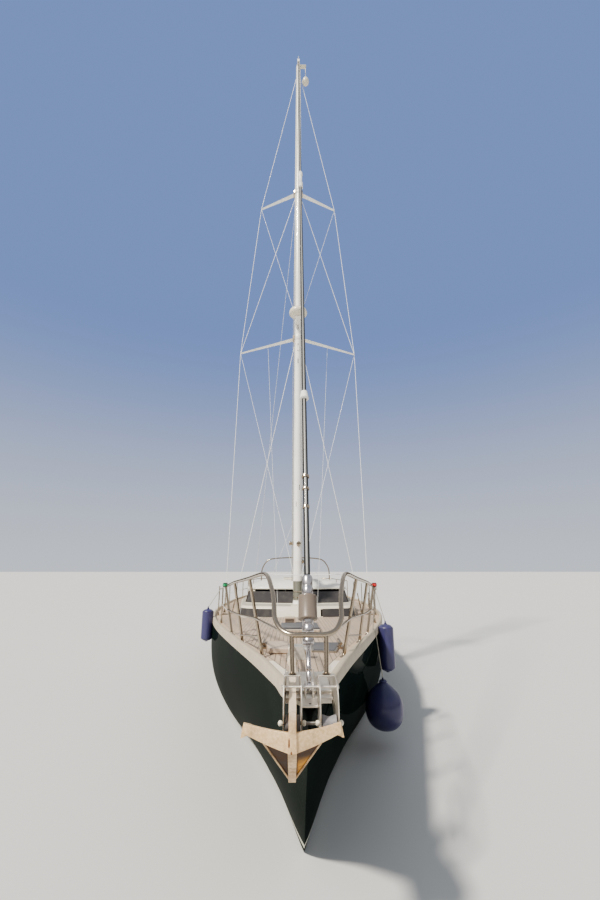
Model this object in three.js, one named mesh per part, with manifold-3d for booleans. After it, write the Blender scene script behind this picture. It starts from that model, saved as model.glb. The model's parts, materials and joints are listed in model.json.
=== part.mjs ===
// Ocean-going sailing yacht, about 15.4 m long on deck, afloat.
// Millimetres. +Z is up, z = 0 is the waterline, the bow points to -Y and port is +X.
import * as THREE from 'three';
import { mergeVertices } from 'three/addons/utils/BufferGeometryUtils.js';
import Module from 'manifold-3d';

const wasm = await Module();
wasm.setup();

// Driving dimensions
const GAP = 0.3;
const DECK_THICKNESS = 40;
const CAMBER = 0.035;
const TRANSOM_Y = 7700;

// Columns: place along the boat, deck half-beam, sheer height, keel-line height, fullness, roundness
const STATIONS = [
  [-7780, 40, 1600, 1400, 1.0, 1.0],
  [-7700, 95, 1600, 1340, 1.0, 1.0],
  [-7130, 260, 1585, 830, 1.05, 1.0],
  [-6350, 488, 1565, 0, 1.15, 1.0],
  [-5300, 815, 1535, -330, 1.5, 1.15],
  [-4250, 1135, 1505, -470, 1.9, 1.35],
  [-3220, 1430, 1475, -555, 2.5, 1.6],
  [-2150, 1695, 1450, -600, 3.1, 1.8],
  [-850, 1950, 1420, -630, 3.7, 2.0],
  [650, 2130, 1395, -630, 4.0, 2.0],
  [2150, 2230, 1375, -590, 4.1, 2.0],
  [4150, 2220, 1370, -440, 4.1, 2.0],
  [6150, 2070, 1375, -170, 4.1, 2.0],
  [7700, 1830, 1385, 90, 4.1, 2.0],
];
const SECTION_LEVELS = [0.02, 0.07, 0.16, 0.3, 0.5, 0.75, 1];
const DECK_LEVELS = [0.66, 0.33];

const MAST_Y = -1450;
const MAST_HALF_WIDTH = 100;
const MAST_HALF_DEPTH = 135;
const MAST_TOP = 18950;

const COACHROOF_TOP = 1700;
const DECKHOUSE_TOP = 1990;
const WALL = 45;
const GLASS = 10;
const SALOON = { x: 1080, front: -700, aft: 2150, floor: 150 };
const COCKPIT = { x: 780, front: 2750, aft: 6250, floor: 760 };
const COMPANIONWAY = { x: 330, sill: 950 };
const PLATFORM = { x: 1100, front: 7050, floor: 430 };
const FORE_HATCH = { x: 300, front: -4300, aft: -3700, depth: 350, rim: 1580, lid: 26 };

const FORESTAY_FOOT = new THREE.Vector3(0, -7760, 1680);
const FORESTAY_HEAD = new THREE.Vector3(0, -1640, 18600);

const v = (x, y, z) => new THREE.Vector3(x, y, z);
const mirrored = (point) => v(-point.x, point.y, point.z);

// Solids
function solidOf(geometry) {
  const bare = geometry.clone();
  bare.deleteAttribute('normal');
  bare.deleteAttribute('uv');
  const welded = mergeVertices(bare, 1e-3);
  return new wasm.Manifold(new wasm.Mesh({
    numProp: 3,
    vertProperties: new Float32Array(welded.attributes.position.array),
    triVerts: new Uint32Array(welded.index.array),
  }));
}

function geometryOf(solid) {
  const mesh = solid.getMesh();
  const geometry = new THREE.BufferGeometry();
  geometry.setAttribute('position', new THREE.BufferAttribute(mesh.vertProperties, 3));
  geometry.setIndex(new THREE.BufferAttribute(mesh.triVerts, 1));
  geometry.computeVertexNormals();
  return geometry;
}

const join = (...solids) => solids.flat().reduce((sum, solid) => sum.add(solid));
const cut = (solid, ...tools) => tools.flat().reduce((rest, tool) => rest.subtract(tool), solid);

function block(x0, x1, y0, y1, z0, z1) {
  const box = new THREE.BoxGeometry(x1 - x0, y1 - y0, z1 - z0);
  return solidOf(box.translate((x0 + x1) / 2, (y0 + y1) / 2, (z0 + z1) / 2));
}

// A round bar, or a cone frustum, between two points
function rod(from, to, radius, sides = 6, endRadius = radius) {
  const along = to.clone().sub(from);
  const bar = new THREE.CylinderGeometry(endRadius, radius, along.length(), sides);
  bar.applyQuaternion(new THREE.Quaternion().setFromUnitVectors(v(0, 1, 0), along.clone().normalize()));
  const middle = from.clone().add(to).multiplyScalar(0.5);
  return solidOf(bar.translate(middle.x, middle.y, middle.z));
}

function ball(centre, rx, ry = rx, rz = rx, across = 12, down = 8) {
  const sphere = new THREE.SphereGeometry(1, across, down).rotateX(Math.PI / 2).scale(rx, ry, rz);
  return solidOf(sphere.translate(centre.x, centre.y, centre.z));
}

function roundShape(radius, sides) {
  const shape = new THREE.Shape();
  for (let i = 0; i < sides; i += 1) {
    const angle = (2 * Math.PI * i) / sides;
    shape[i ? 'lineTo' : 'moveTo'](radius * Math.cos(angle), radius * Math.sin(angle));
  }
  return shape;
}

// A bent tube through the points
function tube(points, radius, stepsPerSpan = 2, sides = 6) {
  const path = new THREE.CatmullRomCurve3(points, false, 'centripetal');
  const steps = (points.length - 1) * stepsPerSpan;
  const options = { extrudePath: path, steps, bevelEnabled: false };
  return solidOf(new THREE.ExtrudeGeometry(roundShape(radius, sides), options));
}

// A wire or rail of straight spans, its spans joined by small balls at the turns
function spans(points, radius, sides = 6) {
  const parts = [];
  for (let i = 1; i < points.length; i += 1) {
    parts.push(rod(points[i - 1], points[i], radius, sides));
    if (i < points.length - 1) parts.push(ball(points[i], radius * 1.25, radius * 1.25, radius * 1.25, 6, 4));
  }
  return join(parts);
}

// A flat plate between two levels of one axis, its outline drawn in y and z, z and x, or x and y
function plate(outline, axis, from, to) {
  const shape = new THREE.Shape(outline.map(([a, b]) => new THREE.Vector2(a, b)));
  const slab = new THREE.ExtrudeGeometry(shape, { depth: to - from, bevelEnabled: false });
  if (axis === 'x') slab.applyMatrix4(new THREE.Matrix4().makeBasis(v(0, 1, 0), v(0, 0, 1), v(1, 0, 0)));
  if (axis === 'y') slab.applyMatrix4(new THREE.Matrix4().makeBasis(v(0, 0, 1), v(1, 0, 0), v(0, 1, 0)));
  const move = { x: [from, 0, 0], y: [0, from, 0], z: [0, 0, from] }[axis];
  return solidOf(slab.translate(...move));
}

// A body through rows of points, one closed loop after another, with flat ends
function loft(rows) {
  const count = rows[0].length;
  const points = rows.flat();
  const faces = [];
  for (let r = 1; r < rows.length; r += 1) {
    for (let i = 0; i < count; i += 1) {
      const a = (r - 1) * count + i;
      const b = (r - 1) * count + ((i + 1) % count);
      faces.push([a, b, b + count], [a, b + count, a + count]);
    }
  }
  [[0, true], [rows.length - 1, false]].forEach(([r, first]) => {
    const hub = points.length;
    points.push(rows[r].reduce((sum, p) => sum.clone().add(p), v(0, 0, 0)).divideScalar(count));
    for (let i = 0; i < count; i += 1) {
      const a = r * count + i;
      const b = r * count + ((i + 1) % count);
      faces.push(first ? [hub, b, a] : [hub, a, b]);
    }
  });
  const volume = faces.reduce((sum, [a, b, c]) => (
    sum + points[a].dot(points[b].clone().cross(points[c]))), 0);
  const outward = volume < 0 ? faces.map(([a, b, c]) => [a, c, b]) : faces;
  const geometry = new THREE.BufferGeometry().setFromPoints(points);
  geometry.setIndex(outward.flat());
  return solidOf(geometry);
}

// A turned form about a vertical axis through the centre, stretched by the two scales
function turned(profile, centre, sides = 24, scaleX = 1, scaleY = 1) {
  const outline = profile.map(([r, z]) => new THREE.Vector2(r, z));
  const form = new THREE.LatheGeometry(outline, sides).rotateX(Math.PI / 2).scale(scaleX, scaleY, 1);
  return solidOf(form.translate(centre.x, centre.y, centre.z));
}

// Hull lines
function stationAt(y) {
  const last = STATIONS.length - 1;
  let i = 1;
  while (i < last && STATIONS[i][0] < y) i += 1;
  const [a, b] = [STATIONS[i - 1], STATIONS[i]];
  const t = (y - a[0]) / (b[0] - a[0]);
  const [, beam, sheer, bottom, full, round] = a.map((value, k) => value + t * (b[k] - value));
  return { y, beam, sheer, bottom, full, round };
}

const halfBeam = (y) => stationAt(y).beam;

function deckHeight(x, y) {
  const { beam, sheer } = stationAt(y);
  return sheer + CAMBER * beam * (1 - (x / beam) ** 2);
}

function sideAt(y, z) {
  const { beam, sheer, bottom, full, round } = stationAt(y);
  const level = (z - bottom) / (sheer - bottom);
  return beam * (1 - (1 - level) ** full) ** (1 / round);
}

const deckRow = ({ beam, sheer }, lift) => [1, ...DECK_LEVELS, 0].map((level) => (
  [beam * level, sheer + lift + CAMBER * beam * (1 - level ** 2)]));

function ringOf(half, y) {
  const port = half.map(([x, z]) => v(x, y, z));
  const starboard = half.slice(1, -1).reverse().map(([x, z]) => v(-x, y, z));
  return [...port, ...starboard];
}

function hullRing(station, lift) {
  const { y, beam, sheer, bottom, full, round } = station;
  const top = sheer - DECK_THICKNESS - GAP;
  const side = SECTION_LEVELS.slice(0, -1).map((level) => (
    [beam * (1 - (1 - level) ** full) ** (1 / round), lift + bottom + level * (top - bottom)]));
  return ringOf([[0, bottom + lift], ...side, ...deckRow(station, lift - DECK_THICKNESS - GAP)], y);
}

const allStations = () => STATIONS.map(([y]) => stationAt(y));

// Everything from well below up to the deck's upper face, raised by lift
function belowDeck(lift) {
  return loft(allStations().map((station) => {
    const beam = station.beam + 2 * lift;
    return ringOf([[0, -1500], [beam, -1500], ...deckRow({ ...station, beam }, lift)], station.y);
  }));
}

const UNDER_DECK = belowDeck(GAP);
const onDeck = (solid) => cut(solid, UNDER_DECK);

const WELLS = [
  block(-SALOON.x, SALOON.x, SALOON.front, SALOON.aft, SALOON.floor, 3000),
  block(-COCKPIT.x, COCKPIT.x, COCKPIT.front, COCKPIT.aft, COCKPIT.floor, 3000),
  block(-COMPANIONWAY.x, COMPANIONWAY.x, SALOON.aft - 50, COCKPIT.front + 50, COMPANIONWAY.sill, 3000),
  block(-PLATFORM.x, PLATFORM.x, PLATFORM.front, TRANSOM_Y + 50, PLATFORM.floor, 3000),
];
const HATCH_WELL = block(
  -FORE_HATCH.x + 50, FORE_HATCH.x - 50, FORE_HATCH.front + 50, FORE_HATCH.aft - 50,
  deckHeight(0, FORE_HATCH.front) - FORE_HATCH.depth, 3000);

const RUDDER = { y: 6050, top: -290, foot: -1780, stock: 48, stockTop: 300 };

const hullBody = loft(allStations().map((station) => hullRing(station, 0)));
const hullLowered = loft(allStations().map((station) => hullRing(station, -GAP)));

function hull() {
  const bore = rod(v(0, RUDDER.y, -900), v(0, RUDDER.y, RUDDER.stockTop + 10), RUDDER.stock + 0.8, 24);
  return cut(hullBody, WELLS, HATCH_WELL, bore);
}

function deck() {
  const upper = allStations().map((station) => {
    const top = deckRow(station, 0);
    const under = deckRow(station, -DECK_THICKNESS).reverse();
    return ringOf([...under, ...top], station.y);
  });
  const { x, front, aft, rim } = FORE_HATCH;
  return cut(join(loft(upper), block(-x, x, front, aft, 1520, rim)), WELLS, HATCH_WELL);
}

const TOE_RAIL = { width: 55, height: 62, inset: 4, firstStation: 2 };

function toeRail(side) {
  return onDeck(loft(allStations().slice(TOE_RAIL.firstStation).map(({ y, beam, sheer }) => {
    const outer = side * (beam - TOE_RAIL.inset);
    const inner = side * (beam - TOE_RAIL.inset - TOE_RAIL.width);
    const [low, high] = [sheer - 60, sheer + TOE_RAIL.height];
    return [v(outer, y, low), v(outer, y, high), v(inner, y, high), v(inner, y, low)];
  })));
}

// Underwater parts
const KEEL = { topFront: -1000, topAft: 950, footFront: -450, footAft: 900, foot: -1850, thick: 150 };
const BULB = { y: 150, z: -1930, long: 1350, radius: 190 };

function foil(front, aft, thick, z) {
  const chord = aft - front;
  const half = [[0, 0], [0.05, 0.55], [0.2, 0.95], [0.4, 1], [0.7, 0.6], [1, 0.06]];
  const port = half.map(([t, w]) => v((w * thick) / 2, front + t * chord, z));
  const starboard = half.slice(1).reverse().map(([t, w]) => v((-w * thick) / 2, front + t * chord, z));
  return [...port, ...starboard];
}

function keel() {
  const fin = loft([
    foil(KEEL.topFront, KEEL.topAft, KEEL.thick * 1.25, -400),
    foil(KEEL.footFront, KEEL.footAft, KEEL.thick, KEEL.foot),
  ]);
  const bulb = ball(v(0, BULB.y, BULB.z), BULB.radius, BULB.long, BULB.radius, 16, 10);
  const flat = block(-400, 400, -2500, 2500, -2400, BULB.z - BULB.radius + 25);
  return cut(join(fin, bulb), flat, hullLowered);
}

function rudder() {
  const blade = loft([
    foil(RUDDER.y - 190, RUDDER.y + 560, 130, RUDDER.top),
    foil(RUDDER.y - 110, RUDDER.y + 400, 70, RUDDER.foot),
  ]);
  const stock = rod(v(0, RUDDER.y, RUDDER.top - 200), v(0, RUDDER.y, RUDDER.stockTop), RUDDER.stock, 16);
  return join(blade, stock);
}

const SHAFT_FROM = v(0, 3000, -480);
const SHAFT_TO = v(0, 4800, -780);
const SHAFT_DIRECTION = SHAFT_TO.clone().sub(SHAFT_FROM).normalize();
const PROPELLER = { radius: 260, hub: 48, long: 120, blades: 3 };
const onShaft = (distance) => SHAFT_TO.clone().addScaledVector(SHAFT_DIRECTION, distance);

function shaftAndBracket() {
  const shaft = rod(SHAFT_FROM, onShaft(-1), 22, 12);
  const boss = rod(onShaft(-140), onShaft(-6), 42, 12);
  const strut = loft([foil(4640, 4760, 28, -760), foil(4560, 4720, 36, -200)]);
  return cut(join(shaft, boss, strut), hullLowered);
}

function propeller() {
  const hub = rod(onShaft(0), onShaft(PROPELLER.long), PROPELLER.hub, 16, PROPELLER.hub * 0.7);
  const blades = [];
  const centre = onShaft(PROPELLER.long / 2);
  const tilt = new THREE.Quaternion().setFromUnitVectors(v(0, 1, 0), SHAFT_DIRECTION);
  for (let i = 0; i < PROPELLER.blades; i += 1) {
    const blade = new THREE.CylinderGeometry(1, 1, 1, 14).scale(85, 12, 118).translate(0, 0, 142);
    blade.rotateZ(0.6);
    blade.rotateY((2 * Math.PI * i) / PROPELLER.blades);
    blade.applyQuaternion(tilt).translate(centre.x, centre.y, centre.z);
    blades.push(solidOf(blade));
  }
  return join(hub, blades);
}

// Superstructure: plan outlines from the middle of the front, along port, to the middle of the back
function plan({ front, aft, frontHalf, aftHalf, corner, bow }, z) {
  const port = [v(0, front, z)];
  port.push(v((frontHalf - corner) * 0.6, front + bow * 0.36, z));
  for (let i = 0; i <= 3; i += 1) {
    const angle = (Math.PI / 2) * (i / 3);
    port.push(v(frontHalf - corner + corner * Math.sin(angle), front + bow + corner * (1 - Math.cos(angle)), z));
  }
  port.push(v(aftHalf, front + (aft - front) * 0.55, z), v(aftHalf * 0.98, aft, z), v(0, aft, z));
  return [...port, ...port.slice(1, -1).reverse().map(mirrored)];
}

const shrunk = (form, by) => ({
  front: form.front + by, aft: form.aft - by, frontHalf: form.frontHalf - by, aftHalf: form.aftHalf - by,
  corner: form.corner, bow: form.bow,
});

// Columns: height, front, aft, half-width at the front, half-width aft, corner radius, bow of the front
const HOUSE_LEVELS = [
  [1300, -2060, 2700, 1300, 1500, 420, 130],
  [1660, -1900, 2700, 1260, 1470, 400, 130],
  [COACHROOF_TOP, -1860, 2700, 1230, 1440, 380, 130],
  [COACHROOF_TOP + 0.5, -1150, 2700, 1230, 1360, 330, 150],
  [DECKHOUSE_TOP, -790, 2700, 1175, 1235, 300, 150],
].map(([z, front, aft, frontHalf, aftHalf, corner, bow]) => (
  { z, form: { front, aft, frontHalf, aftHalf, corner, bow } }));

// Columns: front edge, aft edge, lowest, highest, inner and outer distance from the middle
const SIDE_WINDOWS = [
  [-420, 560, 1745, 1930],
  [680, 1560, 1745, 1930],
  [1680, 2400, 1755, 1920],
];
const LOW_WINDOW = { low: 1510, high: 1644, inner: 480, outer: 1700, front: -2200, aft: -1000 };
const SCREEN = { low: 1714, high: 1944, split: 30, outer: 1250, front: -1400, aft: -700 };

const windowTools = () => [
  ...[1, -1].map((side) => block(
    side > 0 ? SCREEN.split : -SCREEN.outer, side > 0 ? SCREEN.outer : -SCREEN.split,
    SCREEN.front, SCREEN.aft, SCREEN.low, SCREEN.high)),
  ...[1, -1].map((side) => block(
    side > 0 ? LOW_WINDOW.inner : -LOW_WINDOW.outer, side > 0 ? LOW_WINDOW.outer : -LOW_WINDOW.inner,
    LOW_WINDOW.front, LOW_WINDOW.aft, LOW_WINDOW.low, LOW_WINDOW.high)),
  ...SIDE_WINDOWS.map(([front, aft, low, high]) => block(-1700, 1700, front, aft, low, high)),
];

const MAST_FOOT = COACHROOF_TOP + 25;

// The room inside the walls, open below and above
function room(inset) {
  const shift = [-100, -WALL, -WALL, -WALL, 100];
  return loft(HOUSE_LEVELS.map(({ z, form }, i) => plan(shrunk(form, WALL + inset), z + shift[i])));
}

function coachroof() {
  const outer = loft(HOUSE_LEVELS.map(({ z, form }) => plan(form, z)));
  const door = block(
    -COMPANIONWAY.x, COMPANIONWAY.x, SALOON.aft, 2900, COMPANIONWAY.sill, DECKHOUSE_TOP + 100);
  const step = join(
    block(-140, 140, MAST_Y - 190, MAST_Y + 180, COACHROOF_TOP - 120, MAST_FOOT - GAP),
    block(-60, 60, MAST_Y - 60, MAST_Y + 60, COACHROOF_TOP - 300, COACHROOF_TOP - 60));
  return onDeck(cut(join(cut(outer, room(0)), step), windowTools(), door));
}

const ROOF = { crown: 95, overhang: 35, aft: 2760 };
const SLIDE = { x: 370, front: 1650, aft: 2700, thick: 45, travel: 780 };

function roofRows(lift, crown) {
  const edge = HOUSE_LEVELS[HOUSE_LEVELS.length - 1];
  const form = { ...shrunk(edge.form, -ROOF.overhang), aft: ROOF.aft };
  const inner = { ...shrunk(edge.form, 260), aft: ROOF.aft - 60, front: edge.form.front + 420 };
  const z = edge.z + lift;
  return [plan(form, z), plan(form, z + 45), plan(shrunk(form, 60), z + 70), plan(inner, z + crown + 70)];
}

function deckhouseRoof() {
  const opening = block(-SLIDE.x + 40, SLIDE.x - 40, 1700, 3000, 1900, 2400);
  return cut(loft(roofRows(GAP, ROOF.crown)), opening);
}

// Panes against the inner face of the wall: side 0 runs round the whole front
function glass(front, aft, low, high, side) {
  const pane = cut(room(GAP), room(GLASS));
  return onDeck(pane.intersect(block(side > 0 ? 0 : -1700, side < 0 ? 0 : 1700, front, aft, low, high)));
}

function companionwaySlide() {
  const top = DECKHOUSE_TOP + GAP + ROOF.crown + 70;
  const lid = block(-SLIDE.x, SLIDE.x, SLIDE.front, SLIDE.aft, top + 6, top + 6 + SLIDE.thick);
  const runners = [1, -1].map((side) => block(
    side * (SLIDE.x - 15) - 8, side * (SLIDE.x - 15) + 8, SLIDE.front, SLIDE.aft, top + 0.5, top + 10));
  const handle = rod(v(-90, SLIDE.aft - 70, top + 62), v(90, SLIDE.aft - 70, top + 62), 12);
  return join(lid, runners, handle);
}

const DOOR = { hinge: 324, inner: 5, front: 2672, aft: 2694, top: 2148, pin: 6 };

function companionwayDoor(side) {
  const [near, far] = [side * DOOR.inner, side * DOOR.hinge].sort((a, b) => a - b);
  const panel = block(near, far, DOOR.front, DOOR.aft, COMPANIONWAY.sill + 6, DOOR.top);
  const hinge = v(side * (DOOR.hinge - DOOR.pin), DOOR.aft - DOOR.pin, COMPANIONWAY.sill + 0.4);
  return join(panel, rod(hinge, hinge.clone().setZ(COMPANIONWAY.sill + 20), DOOR.pin));
}

// Cockpit
const COAMING = { x: 1080, front: 2706, aft: 6560, top: 1660 };

function cockpitCoaming() {
  const body = loft([
    [v(-COAMING.x, COAMING.front, 1300), v(COAMING.x, COAMING.front, 1300),
      v(COAMING.x, COAMING.aft, 1300), v(-COAMING.x, COAMING.aft, 1300)],
    [v(-COAMING.x + 90, COAMING.front, COAMING.top), v(COAMING.x - 90, COAMING.front, COAMING.top),
      v(COAMING.x - 90, COAMING.aft - 60, COAMING.top), v(-COAMING.x + 90, COAMING.aft - 60, COAMING.top)],
  ]);
  const inside = block(-COCKPIT.x, COCKPIT.x, 2000, COCKPIT.aft, 1000, 2000);
  return onDeck(cut(body, inside));
}

const WINCH = { x: 885, y: 3900, radius: 72, height: 150 };

function winch(side) {
  const { radius, height } = WINCH;
  const profile = [
    [0, 0], [radius, 0], [radius, 18], [radius * 0.72, 40], [radius * 0.66, 90], [radius * 0.85, 120],
    [radius * 0.85, height - 8], [radius * 0.4, height], [0, height],
  ];
  return turned(profile, v(side * WINCH.x, WINCH.y, COAMING.top + 0.5), 12);
}

const WHEEL = { y: 5330, z: 1560, radius: 480, rim: 14, spokes: 6, hub: 45 };

function steeringPedestal() {
  const column = loft([
    [v(-150, 4980, COCKPIT.floor + GAP), v(150, 4980, COCKPIT.floor + GAP),
      v(150, 5240, COCKPIT.floor + GAP), v(-150, 5240, COCKPIT.floor + GAP)],
    [v(-120, 5000, 1520), v(120, 5000, 1520), v(120, 5210, 1520), v(-120, 5210, 1520)],
    [v(-150, 4970, 1640), v(150, 4970, 1640), v(150, 5210, 1700), v(-150, 5210, 1700)],
  ]);
  const guard = tube([
    v(-230, 4930, COCKPIT.floor + GAP), v(-230, 4930, 1600), v(-190, 4930, 1780), v(190, 4930, 1780),
    v(230, 4930, 1600), v(230, 4930, COCKPIT.floor + GAP)], 14);
  const brace = block(-230, 230, 4925, 4990, 1560, 1590);
  const axle = rod(v(0, 5150, WHEEL.z), v(0, WHEEL.y - 25 - 0.5, WHEEL.z), 20);
  return join(column, guard, brace, axle);
}

function steeringWheel() {
  const centre = v(0, WHEEL.y, WHEEL.z);
  const rim = new THREE.TorusGeometry(WHEEL.radius, WHEEL.rim, 6, 24).rotateX(Math.PI / 2);
  const hub = rod(v(0, WHEEL.y - 25, WHEEL.z), v(0, WHEEL.y + 25, WHEEL.z), WHEEL.hub, 16);
  const spokes = [];
  for (let i = 0; i < WHEEL.spokes; i += 1) {
    const angle = (2 * Math.PI * i) / WHEEL.spokes;
    const end = v(WHEEL.radius * Math.cos(angle), 0, WHEEL.radius * Math.sin(angle)).add(centre);
    spokes.push(rod(centre, end, 8, 6));
  }
  return join(solidOf(rim.translate(centre.x, centre.y, centre.z)), hub, spokes);
}

function engine() {
  return block(-330, 330, 1150, 2100, SALOON.floor + GAP, 850);
}

// Spars
const GOOSENECK = { y: -1220, z: 2950 };

function mastBody(grow) {
  const [wide, deep] = [MAST_HALF_WIDTH + grow, MAST_HALF_DEPTH + grow];
  const profile = [[0, MAST_FOOT], [1, MAST_FOOT], [1, 13500], [0.74, MAST_TOP], [0, MAST_TOP]];
  return turned(profile, v(0, MAST_Y, 0), 16, wide, deep);
}

const RADOME = { y: MAST_Y - 370, z: 8900, radius: 235, height: 230 };

function mast() {
  const lug = (z) => block(-28, 28, MAST_Y + 60, GOOSENECK.y + 26, z - 12, z + 12);
  const pin = rod(v(0, GOOSENECK.y, GOOSENECK.z - 110), v(0, GOOSENECK.y, GOOSENECK.z + 110), 12, 12);
  const crane = block(-38, 38, MAST_Y - 230, MAST_Y + 300, MAST_TOP - 90, MAST_TOP + 25);
  const bracket = block(
    -60, 60, RADOME.y + 60, MAST_Y - 60, RADOME.z - RADOME.height / 2 - 40, RADOME.z - RADOME.height / 2 - GAP);
  const tray = block(
    -70, 70, RADOME.y - 70, RADOME.y + 80, RADOME.z - RADOME.height / 2 - 30, RADOME.z - RADOME.height / 2 - GAP);
  return join(mastBody(0), lug(GOOSENECK.z - 120), lug(GOOSENECK.z + 120), pin, crane, bracket, tray);
}

const BOOM = { long: 5200, halfWidth: 62, halfHeight: 105, rise: 160, front: GOOSENECK.y + 140 };

function boom() {
  const section = (y, z, scale) => [...Array(10).keys()].map((i) => {
    const angle = (2 * Math.PI * i) / 10;
    return v(BOOM.halfWidth * scale * Math.cos(angle), y, z + BOOM.halfHeight * scale * Math.sin(angle));
  });
  const aft = GOOSENECK.y + BOOM.long;
  const spar = loft([
    section(BOOM.front, GOOSENECK.z, 0.8), section(BOOM.front + 250, GOOSENECK.z, 1),
    section(aft - 200, GOOSENECK.z + BOOM.rise, 1), section(aft, GOOSENECK.z + BOOM.rise, 0.8),
  ]);
  const fork = block(-26, 26, GOOSENECK.y - 26, BOOM.front + 20, GOOSENECK.z - 107.5, GOOSENECK.z + 107.5);
  const bore = rod(v(0, GOOSENECK.y, GOOSENECK.z - 200), v(0, GOOSENECK.y, GOOSENECK.z + 200), 12.6, 24);
  const vang = rod(v(0, GOOSENECK.y + 25, 2330), v(0, 100, GOOSENECK.z - 40), 32, 10, 24);
  return join(cut(join(spar, fork), bore), vang);
}

// Columns: height, half-span, sweep aft, tip height change, root chord, tip chord
const SPREADERS = {
  lower: [8350, 1620, 750, -20, 170, 80],
  upper: [13340, 1150, 540, -20, 150, 70],
};
const SPREADER_THICKNESS = 42;
const tipOf = (level, side) => {
  const [z, span, sweep, lift] = SPREADERS[level];
  return v(side * span, MAST_Y + sweep, z + lift);
};

const SHROUD = 6;
const CHAINPLATE = { capX: 1700, capY: -760, lowerX: 1510, lowerY: -840, top: 1480 };

function shrouds(side, grow) {
  const on = (x, y, z) => v(side * x, y, z);
  const cap = [
    on(60, MAST_Y, 18450), tipOf('upper', side), tipOf('lower', side),
    on(CHAINPLATE.capX, CHAINPLATE.capY, CHAINPLATE.top - 5)];
  const diagonal = [on(70, MAST_Y, SPREADERS.upper[0] - 110), tipOf('lower', side)];
  const lower = [
    on(70, MAST_Y, SPREADERS.lower[0] - 110),
    on(CHAINPLATE.lowerX, CHAINPLATE.lowerY, CHAINPLATE.top - 5)];
  const screw = ([from, to]) => {
    const reach = from.clone().lerp(to, 420 / from.distanceTo(to));
    return rod(from, reach, 17 + grow, 8);
  };
  const plateBar = block(
    side > 0 ? 1450 : -1760, side > 0 ? 1760 : -1450, -930, -690, 1380, CHAINPLATE.top);
  return join(
    spans(cap, SHROUD + grow), spans(diagonal, SHROUD + grow), spans(lower, SHROUD + grow),
    screw([cap[3], cap[2]]), screw([lower[1], lower[0]]), plateBar);
}

function spreader(level, side) {
  const [z, span, sweep, lift, rootChord, tipChord] = SPREADERS[level];
  const row = (x, y, height, chord, thick) => [
    v(x, y - chord / 2, height), v(x, y - chord / 5, height + thick / 2), v(x, y + chord / 4, height + thick / 2),
    v(x, y + chord / 2, height), v(x, y + chord / 4, height - thick / 2), v(x, y - chord / 5, height - thick / 2)];
  const arm = loft([
    row(side * 60, MAST_Y + 10, z, rootChord, SPREADER_THICKNESS),
    row(side * span, MAST_Y + sweep, z + lift, tipChord, SPREADER_THICKNESS * 0.6)]);
  return cut(arm, mastBody(GAP), shrouds(side, GAP));
}

function backstay() {
  const [top, split] = [v(0, MAST_Y + 262, MAST_TOP - 120), v(0, 6000, 4500)];
  const legs = [1, -1].map((side) => rod(
    split.clone().add(v(side * 26, 2, -14)), v(side * 1300, 7560, 1400), 6));
  const feet = [1, -1].map((side) => block(
    side * 1300 - 40, side * 1300 + 40, 7500, 7620, 1350, 1455));
  const link = block(-48, 48, 5955, 6035, 4452, 4548);
  const eye = block(-12, 12, MAST_Y + 238, MAST_Y + 298, MAST_TOP - 140, MAST_TOP - 90 - GAP);
  return onDeck(join(rod(top, split, 6, 6), eye, legs, feet, link));
}

// Forestay and headsail furler: distances up the stay from its pin
const STAY = FORESTAY_HEAD.clone().sub(FORESTAY_FOOT).normalize();
const STAY_LENGTH = FORESTAY_HEAD.distanceTo(FORESTAY_FOOT);
const onStay = (distance) => FORESTAY_FOOT.clone().addScaledVector(STAY, distance);
const FURLER = { from: 262, shroud: 345, drumLow: 430, drumHigh: 610, top: 770, foilTop: STAY_LENGTH - 420 };

function forestayFoot() {
  const eye = rod(onStay(0).add(v(-STAY_EYE, 0, 0)), onStay(0).add(v(STAY_EYE, 0, 0)), 26, 12);
  const fork = rod(onStay(0), onStay(80), 15, 8);
  const screw = rod(onStay(75), onStay(FURLER.from - 1), 19, 10);
  return join(eye, fork, screw);
}

function furlerDrum() {
  const cup = rod(onStay(FURLER.from), onStay(FURLER.from + 45), 42, 16);
  const neck = rod(onStay(FURLER.from + 40), onStay(FURLER.shroud), 24, 12);
  const lower = rod(onStay(FURLER.shroud - 5), onStay(FURLER.drumLow), 43, 16);
  const drum = rod(onStay(FURLER.drumLow - 5), onStay(FURLER.drumHigh), 73, 20);
  const upper = rod(onStay(FURLER.drumHigh - 5), onStay(FURLER.top), 42, 16);
  return join(cup, neck, lower, drum, upper);
}

function forestayFoil() {
  const foilSpar = rod(onStay(FURLER.top + GAP), onStay(FURLER.foilTop), 25, 8);
  const swivel = rod(onStay(2700), onStay(2810), 48, 12, 34);
  const ring = rod(onStay(1690), onStay(1720), 36, 10);
  return join(foilSpar, swivel, ring);
}

function forestayHead() {
  const wire = rod(onStay(FURLER.foilTop + 1), onStay(STAY_LENGTH - 20), 7, 6);
  const terminal = rod(onStay(STAY_LENGTH - 90), onStay(STAY_LENGTH + 30), 16, 8);
  const ear = block(-10, 10, MAST_Y - 225, MAST_Y - 120, 18560, MAST_TOP - 92 - GAP);
  return cut(join(wire, terminal, ear), mastBody(GAP));
}

// Bow fitting
const CHEEK = { inner: 58, outer: 168, thick: 10, top: 1768 };
const ROLLER = { y: -8020, z: 1545, radius: 45, waist: 36, axle: 10, bore: 11.2, half: 44 };
const CHANNEL_X = (CHEEK.inner + CHEEK.outer) / 2;
const KEEPER = { y: -7950, z: 1725 };
const STAY_EYE = 15;
const LUG = { half: 6, middle: STAY_EYE + GAP + 6 };

// Distance along the shank from over the roller, with its slope up and aft
const SHANK = { slope: 0.17, half: 27, deep: 38, front: -8150, aft: -7260, clear: 5.5 };
const shankHeight = (y) => ROLLER.z + ROLLER.radius + SHANK.clear + SHANK.deep + SHANK.slope * (y - ROLLER.y);

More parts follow.
